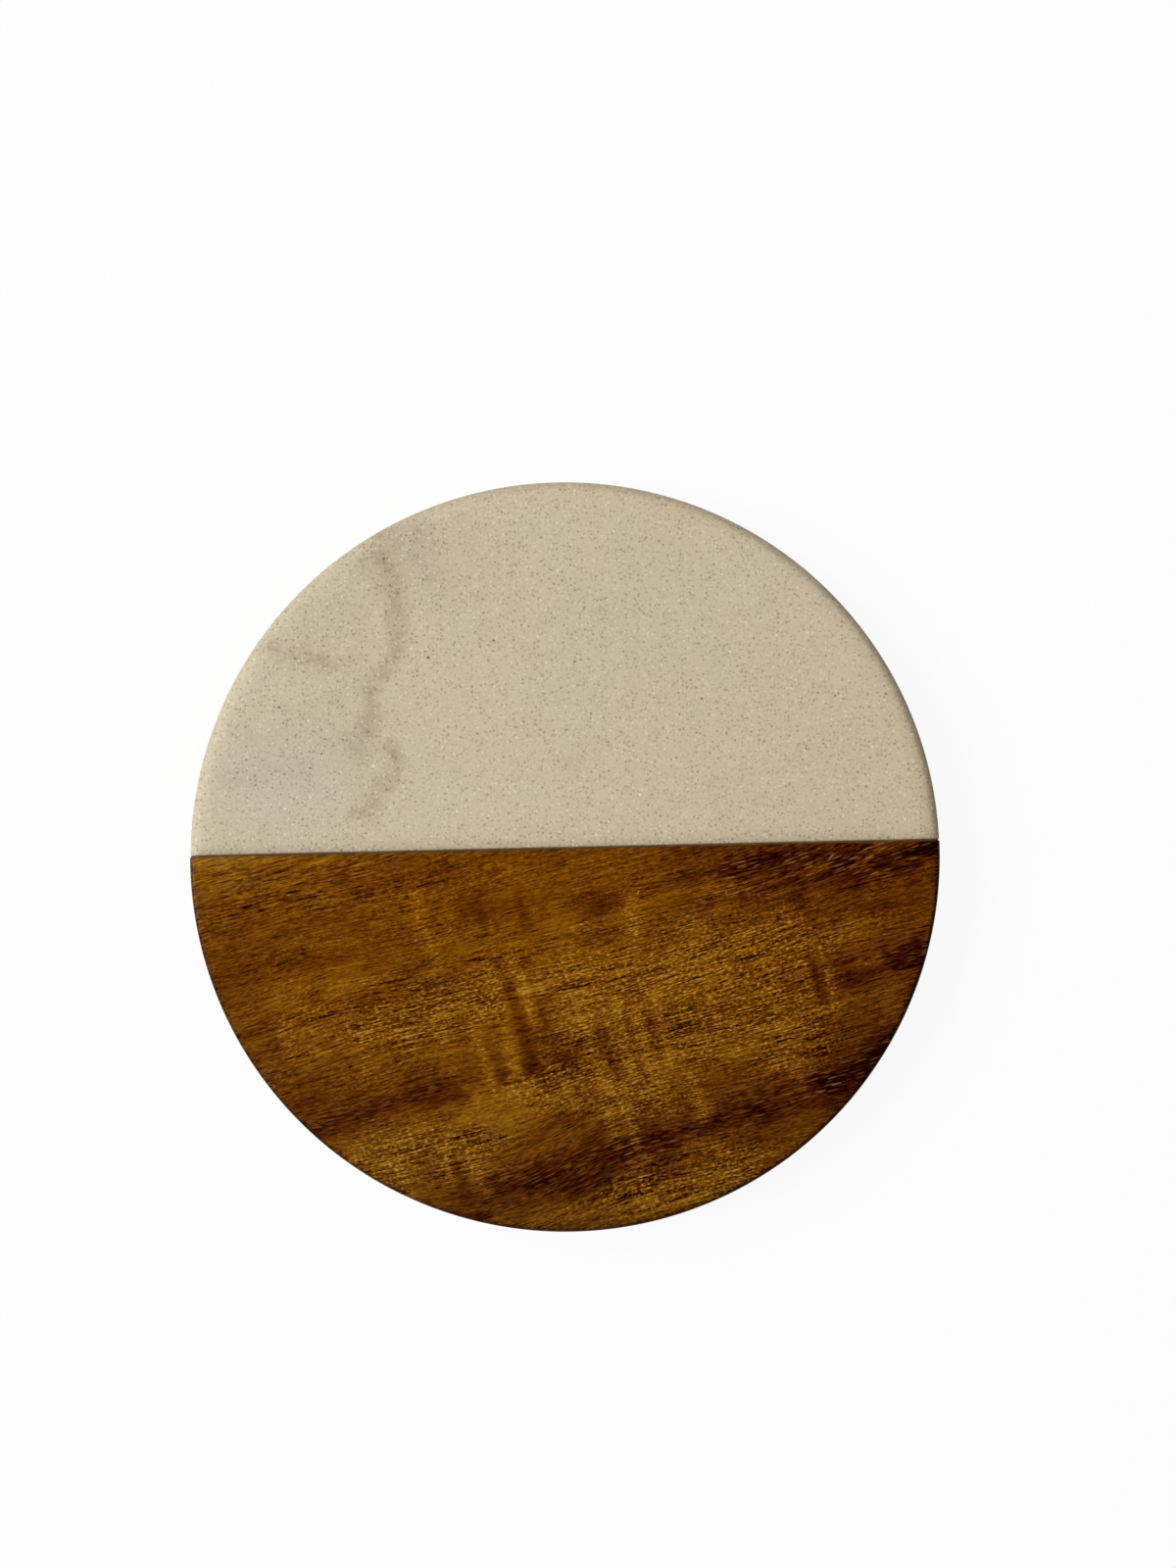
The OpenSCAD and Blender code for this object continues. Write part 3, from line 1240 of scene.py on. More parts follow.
    def build(self) -> bpy.types.Object:
        """Makes the half and dresses it.

        Returns:
            The new piece.
        """
        arc, line, height = self.outlines()
        loops = np.concatenate([arc, line[:, -2:0:-1]], axis=1)
        work = Patchwork()
        stack = work.more(self.placed(loops, height[:, None]))
        under = self.cap(work, stack[0], arc[0], line[0], height[0], self.under_rows)
        top = self.cap(work, stack[-1], arc[-1], line[-1], height[-1], self.rows)
        keep = np.ones((len(height) - 1, stack.shape[1]), bool)
        for dowel, map_u in self.bores:
            self.bore(work, stack, keep, DowelBore(dowel), map_u)
        around = np.linspace(0, 1, stack.shape[1] + 1)
        work.sheet(closed(stack), around, MapBand.WALL.rows(len(height)), keep)
        for index, band in ((under, MapBand.UNDER), (top[::-1], MapBand.TOP)):
            spot = work.points[index]
            u = (spot[..., 0] / self.radius + 1) / 2
            outwards = (spot[..., 1] * self.side.value - self.joint) / (self.radius - self.joint)
            work.sheet(index, u, band.at(outwards))
        work.points = self.settle(work.points)
        piece = work.build(self.node + "_body")
        for name, values in self.fields(*work.points.T).items():
            keep_field(piece, name, values)
        seat(piece, self.node, self.finish.material())
        return piece

    def fields(self, x: np.ndarray, y: np.ndarray, z: np.ndarray) -> dict[str, np.ndarray]:
        """Works out the fields that the finish reads; each half has its own."""
        raise NotImplementedError


# Veins of the stone: x, y, half width and strength along each one, in mm from the middle
VEINS = (
    (
        (-23.0, 44.5, 1.6, 0.7),
        (-23.0, 42.0, 1.7, 0.85),
        (-23.6, 40.0, 1.8, 0.95),
        (-22.8, 37.8, 1.9, 0.9),
        (-21.8, 35.5, 1.1, 0.8),
        (-22.3, 32.0, 0.9, 0.7),
        (-22.4, 29.0, 0.9, 0.8),
        (-23.6, 26.0, 0.9, 0.8),
        (-25.4, 23.6, 1.2, 0.85),
        (-25.6, 21.5, 1.0, 0.9),
        (-26.2, 19.0, 1.6, 1.05),
        (-26.8, 16.6, 1.4, 0.95),
        (-28.0, 14.3, 1.1, 0.55),
    ),
    ((-25.8, 40.2, 0.9, 0.7), (-24.0, 38.6, 1.1, 0.6)),
    ((-26.4, 18.5, 0.9, 0.7), (-29.3, 17.0, 0.9, 0.5), (-31.0, 15.5, 1.0, 0.3)),
    (
        (-23.4, 14.6, 1.1, 0.85),
        (-22.4, 13.2, 1.1, 0.95),
        (-23.8, 11.0, 1.1, 0.75),
        (-25.0, 8.8, 1.0, 0.6),
        (-26.2, 6.8, 1.1, 0.8),
        (-28.6, 6.4, 0.7, 0.55),
    ),
    (
        (-39.5, 29.6, 0.9, 0.7),
        (-37.5, 28.4, 1.0, 0.75),
        (-34.0, 27.8, 0.9, 0.7),
        (-30.5, 27.2, 0.8, 0.7),
        (-27.5, 26.8, 0.7, 0.45),
    ),
    ((-38.0, 27.0, 0.9, 0.3), (-37.0, 26.6, 0.9, 0.3)),
    ((-34.5, 34.0, 1.0, 0.35), (-33.5, 31.5, 1.2, 0.3)),
    ((-11.0, 35.0, 1.0, 0.2), (-10.0, 31.0, 1.0, 0.2)),
    ((-46.0, 12.0, 1.0, 0.25), (-34.0, 13.0, 1.0, 0.25)),
    ((-44.0, 17.0, 0.9, 0.2), (-35.0, 16.5, 0.9, 0.2)),
    # Wide and faint, the staining around them
    (
        (-26.0, 40.0, 4.0, 0.22),
        (-30.0, 30.0, 5.0, 0.27),
        (-30.0, 22.0, 5.0, 0.18),
        (-26.0, 13.0, 4.0, 0.18),
    ),
    ((-17.5, 43.0, 3.0, 0.28), (-16.0, 37.0, 3.0, 0.2)),
    ((-12.0, 44.0, 3.0, 0.18), (-10.0, 38.0, 3.0, 0.16)),
)
# Cool grey spots of the stone: x, y, radius and strength
HAZES = (
    (-19.5, 44.5, 1.6, 0.7),
    (-18.5, 41.5, 2.0, 0.45),
    (-17.5, 38.0, 1.9, 0.35),
    (2.0, 13.0, 1.8, 0.3),
)


@dataclass
class StoneHalf(HalfBoard):
    """The stone half, with its veins, its three faint tints and painted shade along its joint and its upper
    rim.

    Attributes:
        vein_width: widens all veins alike.
        slant: how far the veins shift along x and y for each mm of depth.
        joint_shade_width: distance from the joint at which its painted shade has faded to 0.37.
        joint_shade_depth: how far down the painted shade along the joint reaches.
        rim_shade_band: depths between which the upper rim gets painted shade.
        cool_end: the x where the cool grey at the left ends, and how softly it does.
        warm_start: the x where the warm part at the right starts, and how softly it does.
        warm_end: the y where that part ends, and how softly it does.
        pool: middle and reach of a cool grey place.
        green: middle and reach of a greenish place.
    """

    vein_width: float = 1.35
    slant: Pair = (0.5, 0.7)
    joint_shade_width: float = 0.8
    joint_shade_depth: float = 0.2
    rim_shade_band: Pair = (0.08, 2.4)
    cool_end: Pair = (-20, -5)
    warm_start: Pair = (22, 7)
    warm_end: Pair = (18, -6)
    pool: tuple[Pair, Pair] = ((-38, 12), (10, 8))
    green: tuple[Pair, Pair] = ((10, 31), (14, 11))

    def fields(self, x: np.ndarray, y: np.ndarray, z: np.ndarray) -> dict[str, np.ndarray]:
        """Works out the veins, the tints and the two edges.

        The tints are soft hills and steps in a mottle of noise. Within a millimetre of the
        joint the face is painted darker, as shade along the joint, and so is a band along the
        round upper edge, most at the right, away from the key lamp: both are painted shade.
        Below the face the pattern slants, so that the veins run on down the rim.

        Args:
            x: first coordinate of the vertices, in mm.
            y: second coordinate of the vertices, in mm.
            z: height of the vertices, in mm.

        Returns:
            Each field's values at the vertices, from 0 to 1.
        """
        depth = self.high - z
        out = y * self.side.value - self.joint
        # Painted shade: darker within a millimetre of the joint, and on a band of the round upper edge that
        # grows towards the right, away from the lamp
        joint_shade = np.exp(-out / self.joint_shade_width) * (depth < self.joint_shade_depth)
        start, end = self.rim_shade_band
        rim_shade = np.clip((depth - start) / 0.3, 0, 1) * np.clip(end - depth, 0, 1)
        rim_shade = rim_shade * np.clip(0.65 + x / 140, 0, 1)
        x, y = x + self.slant[0] * depth, y + self.slant[1] * depth
        vein, haze = self.veins(x, y)
        cool = slope(x + 4 * soft_noise(x / 9, y / 9, 16), *self.cool_end)
        warm = slope(x, *self.warm_start) * slope(y, *self.warm_end)
        mottle = 0.5 + 0.5 * soft_noise(x / 4.5, y / 4.5, 17)
        strengths = {
            "vein": vein + 0.6 * haze,
            "lilac": 0.1 * cool + 0.4 * bell(x, y, *self.pool) + 0.7 * haze,
            "blush": 0.35 * warm + 0.2 * mottle * (1 - cool),
            "moss": 0.3 * bell(x, y, *self.green) + 0.15 * (1 - mottle),
            "edge": joint_shade,
            "rim_shade": rim_shade,
        }
        return {name: np.clip(values, 0, 1) for name, values in strengths.items()}

    def veins(self, x: np.ndarray, y: np.ndarray) -> tuple[np.ndarray, np.ndarray]:
        """Works out the veins and the cool grey spots.

        A vein's strength at the distance d from its line of half width w is
        exp(-(d / w)^2), on places that soft noise has moved by up to 1 mm. The strongest
        vein counts, and noise makes it patchy.

        Args:
            x: first coordinate of the points.
            y: second coordinate of the points.

        Returns:
            The strength of the veins and of the spots at each point.
        """
        moved_x, moved_y = (
            start + 0.7 * soft_noise(x / 2.6, y / 2.6, seed) + 0.3 * soft_noise(x / 0.9, y / 0.9, seed + 1)
            for start, seed in ((x, 11), (y, 13))
        )
        vein, haze = np.zeros_like(x), np.zeros_like(x)
        for points in VEINS:
            for (x0, y0, w0, s0), (x1, y1, w1, s1) in zip(points, points[1:]):
                away, share = reach_of(moved_x, moved_y, (x0, y0), (x1, y1))
                half = self.vein_width * (w0 + (w1 - w0) * share)
                strength = s0 + (s1 - s0) * share
                vein = np.maximum(vein, strength * fading(away, half))
        for x0, y0, radius, strength in HAZES:
            haze = np.maximum(haze, strength * bell(moved_x, moved_y, (x0, y0), (radius, radius)))
        return vein * (0.78 + 0.35 * soft_noise(x / 1.1, y / 1.1, 15)), haze


# Figure of the wood, strokes listed where its dark and light lie: x and y of both ends and
# width in mm, and tone. The tone is 1 for the palest gold and -1 for dark brown.
DARK_FIGURE = (
    # Top right, dark red-brown to nearly black at the corner
    (22, -3, 38, 0.5, 4, -0.75),
    (25, -1.8, 29, -1.0, 2.2, -0.35),
    (28, -4.8, 37, -2.5, 1.2, -0.4),
    (43, -1.5, 51, 0.8, 2.4, -0.75),
    (48, -0.6, 51, 0.2, 1.6, -0.7),
    (36, -4.2, 48, -1.8, 6, -0.36),
    (24.6, -6.2, 26.4, -5.8, 1.2, -0.4),
    (31, -7, 31, -6, 2, -0.4),
    (22, -8.5, 32, -6.2, 3, -0.15),
    (38, -3.2, 42, -2, 2.6, -0.3),
    (41, -8.4, 47, -7, 2.4, -0.3),
    (38.6, -1.9, 40, -0.9, 1.8, -0.45),
    (39.2, -5, 40.6, -3.2, 1.2, -0.3),
    (44.6, -3.6, 48, -2.6, 1.2, -0.3),
    (37, -8.8, 44, -7, 1.6, -0.25),
    (14.4, -4.8, 16.4, -3.6, 1.4, -0.2),
    (14, 0.5, 30, 0.9, 1.8, -0.4),
    (11, -4.0, 20, -2.0, 2.6, -0.35),
    # Right rim
    (44.2, -14.2, 48.4, -13.0, 2.1, -0.85),
    (47.6, -12, 48.8, -11.2, 1.4, -0.3),
    (46, -16.2, 47.4, -15.4, 1.2, -0.4),
    (39, -18, 44, -17, 1.6, -0.3),
    (30, -17.9, 34, -17.2, 1.6, -0.3),
    (44.6, -15.8, 47.4, -15.2, 1.2, -0.6),
    (46.5, -20, 49, -15, 3, -0.4),
    (36, -18.5, 44, -15.5, 1.6, -0.45),
    (35, -15.4, 43, -13.6, 2.6, -0.28),
    (36.2, -25.6, 40, -24.6, 8, -0.35),
    (40, -26.3, 43, -25.3, 2.4, -0.2),
    (34, -33, 42.5, -26.8, 3.4, -0.95),
    # Band along the bottom
    (20, -36.6, 34, -31.4, 4.6, -0.6),
    (13, -38.6, 20, -36.6, 3, -0.35),
    (22, -39.4, 31, -37, 3, -0.15),
    (18, -31.4, 24, -29.6, 2.6, -0.2),
    (17.5, -34.4, 22, -33, 2.6, -0.25),
    (14.5, -32.6, 15.4, -36.6, 1.5, -0.4),
    (7.5, -40, 13, -38.8, 2.4, -0.5),
    (9.6, -37.4, 12, -35.6, 1.6, -0.3),
    (8.2, -34.6, 11, -33.4, 1.4, -0.25),
    (26, -31.8, 27.4, -30.4, 1.4, -0.25),
    (15.4, -29, 16.8, -28, 1.2, -0.3),
    (26, -35.8, 31, -34.6, 2, -0.25),
    (1.5, -38.8, 3.6, -37.4, 2.4, -0.3),
    (-9, -44.6, 5.5, -40.4, 4.6, -0.7),
    (8, -45.8, 10.4, -45.2, 2, -0.3),
    (0, -44.4, 7, -43, 3.4, -0.4),
    (10.6, -42.8, 16, -41.8, 2.6, -0.35),
    (-5.5, -43.9, -4, -43.3, 2.4, -0.3),
    (9.8, -38.8, 11.6, -38.2, 2.4, -0.25),
    (-15, -46.2, -11.5, -45.6, 3.2, -0.4),
    (-14, -48.6, -12, -48.3, 1.4, -0.8),
    (-6, -47.2, -1, -46.6, 2.6, -0.2),
    (-19, -45.8, -17.4, -45.2, 1.6, -0.3),
    (-17, -43.6, -15.6, -42, 1.2, -0.25),
    (-20, -38.2, -16.4, -37.4, 1, -0.25),
    (-5, -36.8, 1, -35.4, 3, -0.2),
    # Low left
    (-36, -35.8, -28, -33.4, 2.6, -0.55),
    (-33, -35.4, -27, -34.6, 1.4, -0.3),
    (-28, -32.6, -15, -30.8, 2.6, -0.5),
    (-26, -33.6, -20, -32.6, 1.4, -0.25),
    (-20, -33.2, -14, -32, 1.4, -0.3),
    (-38, -32.8, -32, -31.4, 1.8, -0.2),
    (-39, -31, -33, -29.4, 2.4, -0.25),
    (-34, -36.9, -29, -36, 1.2, -0.3),
    (-23, -30.8, -17, -30, 2, -0.25),
    # Left and upper left
    (-48, -15.6, -44, -14.4, 2.4, -0.35),
    (-40, -13.9, -31, -12.6, 1.6, -0.3),
    (-48, -11.2, -34, -8.8, 5, -0.06),
    (-27.5, -19.8, -19, -17.2, 1.1, -0.3),
    (-22.4, -16, -20.4, -14.8, 2.2, -0.4),
    (-43.5, -23, -40, -22.4, 1.2, -0.2),
    (-23, -3.9, -20.8, -3.6, 1.6, -0.25),
    (-44, -5.8, -42.4, -4.6, 1.4, -0.3),
    (-38, -5, -34.6, -4.4, 1, -0.25),
    (-43, -23.4, -41, -22.6, 1.2, -0.25),
    (-29.3, -23.8, -28.3, -22, 1.2, -0.25),
    (-42.2, -12.4, -41.8, -15.6, 1.1, -0.3),
    (-17.6, -2.4, -15.4, -1.4, 2.6, -0.3),
    # Middle, and small strokes elsewhere
    (1.6, -6.6, 5.6, -5.4, 3, -0.45),
    (2, -8.8, 3.4, -7.6, 1.8, -0.45),
    (4, -12.4, 5.2, -11.8, 1.4, -0.3),
    (-7.2, -18.6, -6.2, -17.2, 1.2, -0.3),
    (-3.6, -32, -1.8, -30.8, 1.6, -0.3),
    (0.2, -33.4, 2, -32.6, 1.6, -0.3),
    (1.8, -10.8, 4, -10.2, 1.4, -0.35),
    (-5.4, -28.6, -3.8, -28.2, 2.2, -0.3),
    (-4.6, -28.8, -2.6, -30.8, 1.6, -0.4),
    (-1.2, -27.8, 0.6, -26.8, 2.4, -0.55),
    (13.2, -24.6, 17.6, -23.2, 1.5, -0.45),
    (37, -16.5, 38, -16, 2.4, -0.25),
    (9.8, -41.6, 13, -40.4, 1.8, -0.4),
    (-10.5, -14.8, -7, -13.8, 1.8, -0.35),
    (1.8, -35.4, 4, -34.8, 1.6, -0.28),
    (42, -12.4, 46.5, -9.6, 2.6, -0.22),
    (-40, -23.6, -38.4, -22.4, 1.2, -0.3),
    (-9, -30, -7.6, -28.2, 1, -0.3),
    (23.2, -35.6, 24.8, -33.8, 1.4, -0.3),
    (9.4, -40.2, 11.4, -39.4, 1.8, -0.35),
    (-33, -2.4, -29, -1.6, 1.8, -0.3),
    (20.8, -11.6, 23.4, -10.6, 1.6, -0.3),
    (12.6, -22.4, 15, -21, 1.4, -0.3),
    (24, -22, 27, -19.4, 1.8, -0.25),
    (25.6, -28.6, 27.4, -26.6, 1.6, -0.3),
    (-4, -29.6, 0, -28.4, 1.6, -0.3),
    (8.4, -36.8, 10, -35, 1.6, -0.3),
    (-1.5, -25.4, 2, -24.6, 1.6, -0.25),
    (3.5, -27.4, 7, -27, 1.6, -0.35),
    (8, -25.4, 11, -24.4, 1.4, -0.25),
    (1, -45.4, 4, -44.6, 1.6, -0.35),
    (8, -44.6, 14, -43, 1.8, -0.28),
    (11, -42, 14, -41.4, 1.6, -0.2),
    (29.6, -7, 32, -6.4, 1.6, -0.3),
    (21, -7, 24, -6.2, 1.4, -0.2),
    (31, -10, 34, -9, 1.6, -0.25),
    (33, -27.4, 36.5, -26.4, 2, -0.25),
    (-37, -33, -33, -32.6, 1.8, -0.18),
    (-26, -34.4, -22, -33.6, 1.6, -0.2),
    (-22.5, -21.6, -17, -19.8, 1.8, -0.18),
    (15, -22, 18, -21.2, 1.6, -0.25),
)
LIGHT_FIGURE = (
    # Along the joint and at the left, and small strokes elsewhere
    (-49, -1.4, -46.5, -0.8, 4.4, 0.45),
    (-48, 0.5, -30, 0.8, 1.4, 0.4),
    (-45, -0.4, -40.6, 0.1, 2, 0.4),
    (18.6, -4.9, 22, -4.1, 1.5, 0.4),
    (33, -2.9, 36.4, -1.9, 1.2, 0.3),
    (40.6, -2.0, 47, -0.9, 1.2, 0.3),
    (-8.6, -4.6, -4.4, -3.8, 2, 0.25),
    (10.6, -3.4, 13, -2.6, 1.8, 0.25),
    (6.8, -8.4, 8.2, -7.4, 1.8, 0.3),
    (-42.5, -9.8, -39.5, -9.2, 1.4, 0.3),
    (-31.5, -14.7, -28.6, -14.2, 1.2, 0.3),
    (-20.5, -14, -11, -12.4, 2.2, 0.3),
    (-9, -16.6, -7.8, -15, 1.3, 0.35),
    (-12.2, -19.8, -11, -23, 1.3, 0.4),
    (-26.6, -13.8, -23.6, -12.8, 1.6, 0.25),
    (-31, -17, -26, -16, 2, 0.25),
    (-33.4, -25.4, -29.6, -24, 1.8, 0.35),
    (32, -7.8, 33, -7, 1.2, 0.3),
    (28, -2, 29.4, -1.2, 1.2, 0.35),
    (42, -15.4, 44, -14, 1.4, 0.35),
    (4.8, -4.4, 8, -3, 2, 0.2),
    (-10, -2.2, -7.6, -1.2, 1.6, 0.25),
    (-33.6, -4.6, -31.4, -3.8, 1.2, 0.3),
    (-50.4, 0.2, -49, 0.6, 1, 0.5),
    (-40, -3, -33, -1.8, 2, 0.15),
    (-40, -17.2, -30, -15.8, 3, 0.3),
    (-42, -19.9, -37, -19.1, 1.6, 0.4),
    (-36, -19.8, -29, -19.2, 1.6, 0.25),
    (-43.5, -24.6, -39, -23.6, 1.8, 0.3),
    (-26.4, -22.6, -24, -21.4, 1.6, 0.3),
    (-17.6, -11.8, -12, -10.8, 2.2, 0.12),
    (-7.4, -11.6, -5, -10.6, 2, 0.2),
    (-9.5, -12, -7.6, -8.6, 2, 0.25),
    # Middle
    (-1.6, -9.8, 1.8, -8.8, 3.6, 0.5),
    (11, -6.8, 14, -5.6, 2.4, 0.35),
    (-4, -19.5, 16, -13.8, 8, 0.25),
    (-3.4, -14.6, 4, -13, 2.6, 0.2),
    (-5, -17.6, 3, -15.6, 2.6, 0.25),
    (-8.4, -20, -4.6, -18.6, 2, 0.2),
    (25, -16.4, 26, -15.2, 1.6, 0.35),
    (16.8, -22.2, 18.6, -21.8, 1.2, 0.3),
    (5.2, -22.6, 6.2, -21, 1.3, 0.3),
    (9.4, -21.4, 10.4, -19.4, 1.4, 0.2),
    (3.4, -30.8, 4.6, -33, 1.4, 0.35),
    (39, -27, 42.4, -25.6, 1.2, 0.25),
    (18, -24.8, 21.5, -24.2, 1.4, 0.25),
    (15, -20, 19, -19, 1.4, 0.3),
    (23, -27, 25, -26.3, 1.6, 0.3),
    (11, -30.2, 16, -29, 2.2, 0.35),
    (32.5, -31, 33.5, -34, 1.6, 0.35),
    (-7.1, -27.6, -6.2, -29.8, 1.3, 0.65),
    (12, -19.2, 20, -17.2, 1.8, 0.2),
    (24, -12.6, 29, -11.6, 2.6, 0.25),
    (12, -16, 24, -13, 5, 0.15),
    (-2, -22.2, 3.4, -20.6, 2.6, 0.25),
    (-23, -22.8, -21, -22.2, 4, 0.15),
    (-17.4, -21.6, -14.4, -19.6, 2.4, 0.35),
    (-12.8, -18, -11, -16, 1.8, 0.2),
    (-38, -24.2, -29, -22.2, 1.8, 0.2),
    (-18, -25.8, -12.6, -25.2, 1.4, 0.3),
    (26, -25.2, 33, -22.4, 2.6, 0.35),
    (16, -26.6, 26, -25.6, 2, 0.2),
    (8.6, -28.4, 15, -27.4, 2.4, 0.25),
    (29, -29.6, 33, -28.6, 1.8, 0.25),
    # Under the middle, and small strokes elsewhere
    (-12.5, -33.4, -3.4, -31.6, 4, 0.45),
    (-12.6, -32, -10.6, -30.8, 2, 0.35),
    (-17.8, -36.9, -14.4, -35.2, 2.0, 0.55),
    (-24, -34.8, -22, -34, 1.4, 0.3),
    (-2, -43, 2, -41.8, 1.6, 0.25),
    (-11, -36.9, -9, -36, 1.6, 0.25),
    (-24.4, -31.5, -22.4, -30.8, 1.7, 0.5),
    (-27, -41.6, -23.6, -41, 1.6, 0.4),
    (-9.4, -46.4, -6.4, -44.2, 1.8, 0.3),
    (6.4, -42, 9.4, -41, 2.2, 0.3),
    (18.6, -37.4, 20.6, -36.7, 1.8, 0.3),
    (-34, -34.4, -27, -32.8, 1.2, 0.3),
    (-12, -36, -6, -34.8, 2.4, 0.3),
    (3.6, -32.4, 6.4, -31.6, 2.6, 0.3),
    (-29, -39.4, -20.4, -37.4, 4, 0.3),
    (-25, -37.8, -22, -37.2, 1.8, 0.25),
    (10, -46.6, 24, -43.6, 3, 0.15),
    (36, -11.6, 44, -9.8, 2, 0.15),
    (-34.4, -35.2, -32.8, -34.8, 1.2, 0.25),
    (-26, -27.2, -24, -26.6, 1.4, 0.3),
    (-11.5, -34.4, -7.5, -32.4, 3, 0.2),
    (-31.5, -21.2, -29, -20.6, 1.4, 0.25),
    (4.5, -17.2, 8, -16.4, 1.6, 0.25),
    (29.6, -26.4, 32.4, -25.6, 1.6, 0.25),
    (13, -47.6, 18, -46.4, 1.8, 0.4),
    (-4, -47.8, -1, -47.4, 1.8, 0.35),
    (-21, -45.6, -18.6, -45.2, 1.6, 0.4),
    (18.6, -8.8, 20.6, -7.6, 1.6, 0.35),
    (-10.5, -12.9, -7, -11.9, 1.2, 0.2),
    (23.6, -13.6, 26.4, -12.8, 1.2, 0.3),
    (-38, -26.8, -34, -26, 1.6, 0.25),
    (4, -28.6, 6, -27.8, 1.4, 0.3),
    (30.4, -33.8, 33, -33, 1.6, 0.3),
    (-28.6, -33.4, -26.6, -32.6, 1.2, 0.35),
    (-1.5, -6, 1, -5.4, 1.8, 0.25),
    (34, -2.6, 36, -2.2, 1.6, 0.3),
    (-33, -1.2, -29, -0.8, 1.4, 0.2),
    (-17, -26.6, -13, -25.6, 1.8, 0.25),
    (-24, -25, -22, -24.4, 1.6, 0.25),
    (-31, -26.4, -29.6, -25.8, 1.4, 0.3),
    (39, -12, 41.5, -11.6, 1.4, 0.3),
    (-9, -17.6, -8, -17, 1, 0.3),
    (-4, -36, -3.2, -35, 1.6, 0.2),
    (-6.6, -28.4, -5.8, -27.6, 1, 0.3),
    (-50, -0.5, -48, 0.5, 2, 0.25),
    (-38, -9.6, -32, -9, 1.4, 0.15),
    (22, -4.8, 27, -2.6, 1.4, 0.2),
    (-9, -3, 3, -1.5, 5, 0.12),
)
# Painted reflection: light and dark bands across the grain, where its curl turns the fibres to the light or
# away, in the same terms
CURL_SHEEN_BANDS = (
    (-10.6, -14.5, -7.6, -27.5, 1.5, 0.35),
    (-7.9, -16.5, -5.0, -27.5, 1.8, -0.52),
    (-7.4, -13.5, -4.6, -22.5, 1.4, 0.5),
    (-13.2, -22, -10.6, -30, 1.5, 0.4),
    (-11.8, -24, -9.2, -30, 1.0, -0.2),
    (-2.5, -27.2, 0.3, -33.8, 1.7, 0.5),
    (2.3, -23, 4.7, -31, 1.2, 0.35),
    (3.9, -23, 6.3, -30, 1.3, -0.35),
    (-4.0, -20, -1.9, -27, 1.5, -0.35),
    (6.2, -19, 8.8, -30, 1.4, 0.4),
    (7.6, -22, 9.8, -30, 1.2, -0.3),
    (8.9, -20, 11.2, -30, 1.2, 0.4),
    (10.4, -20.5, 12.2, -27, 1.1, -0.3),
    (11.9, -18.5, 13.4, -28, 1.3, 0.4),
    (16.2, -29.5, 17.8, -35.5, 1.8, 0.5),
    (16.9, -20, 17.8, -24, 0.9, -0.3),
    (18.5, -20, 19.3, -24, 0.9, -0.3),
    (20.5, -20, 21.3, -24.5, 1.1, -0.35),
    (18.3, -17, 19.6, -20.5, 1.4, 0.25),
    (21.2, -15, 22.4, -19.5, 1.3, 0.25),
    (32.9, -14.5, 34.4, -20, 1.4, -0.5),
    (35.4, -16.4, 36.2, -21, 1.2, 0.35),
    (29, -16, 30.2, -21, 1.2, -0.2),
    (-17.5, -39, -16.6, -43, 1.3, 0.4),
    (-14.1, -39.5, -11.5, -45.5, 1.5, 0.4),
    (-16.0, -40.5, -14.0, -46, 1.2, -0.3),
    (-22.9, -42.2, -22.2, -45, 1.9, 0.45),
    (7.2, -32.5, 8.6, -39, 1.2, 0.45),
    (5.0, -34.5, 6.2, -39.5, 1.2, 0.4),
    (9, -44, 11, -49.5, 2, 0.2),
    (21, -41, 21.7, -44, 2.2, 0.12),
    (-38.4, -21.5, -37.5, -26.5, 1.7, 0.3),
    (-28.7, -23, -27.3, -29, 1.4, 0.2),
    (-22.8, -21, -21.8, -26, 2.0, 0.25),
    (-18.2, -19.5, -16.9, -24.5, 1.5, 0.3),
    (-20.3, -4.6, -19.8, -9.6, 1.9, 0.3),
    (-18.8, -10, -17.7, -14.5, 1.6, 0.3),
    (-16.4, -5.6, -15.4, -10.5, 2.0, 0.2),
    (-14.2, -4.8, -13.7, -8.2, 1.3, -0.15),
    (-12.0, -4.8, -11.3, -8.4, 1.6, -0.28),
    (-6.4, -5, -5.7, -9.2, 1.3, -0.35),
    (8.9, -6.6, 8.8, -10, 2.4, 0.45),
)
# Where the grain turns off its course: x, y, radius and the change of slope in the middle
GRAIN_TURNS = (
    (-24, -33, 11, 0.14),
    (-16, -10, 12, 0.08),
    (8, -26, 10, 0.04),
    (-40, -13, 15, 0.14),
    (-36, -24, 9, 0.08),
    (0, -43, 14, 0.16),
    (36, -2, 18, 0.09),
    (-44, -1, 10, -0.04),
)
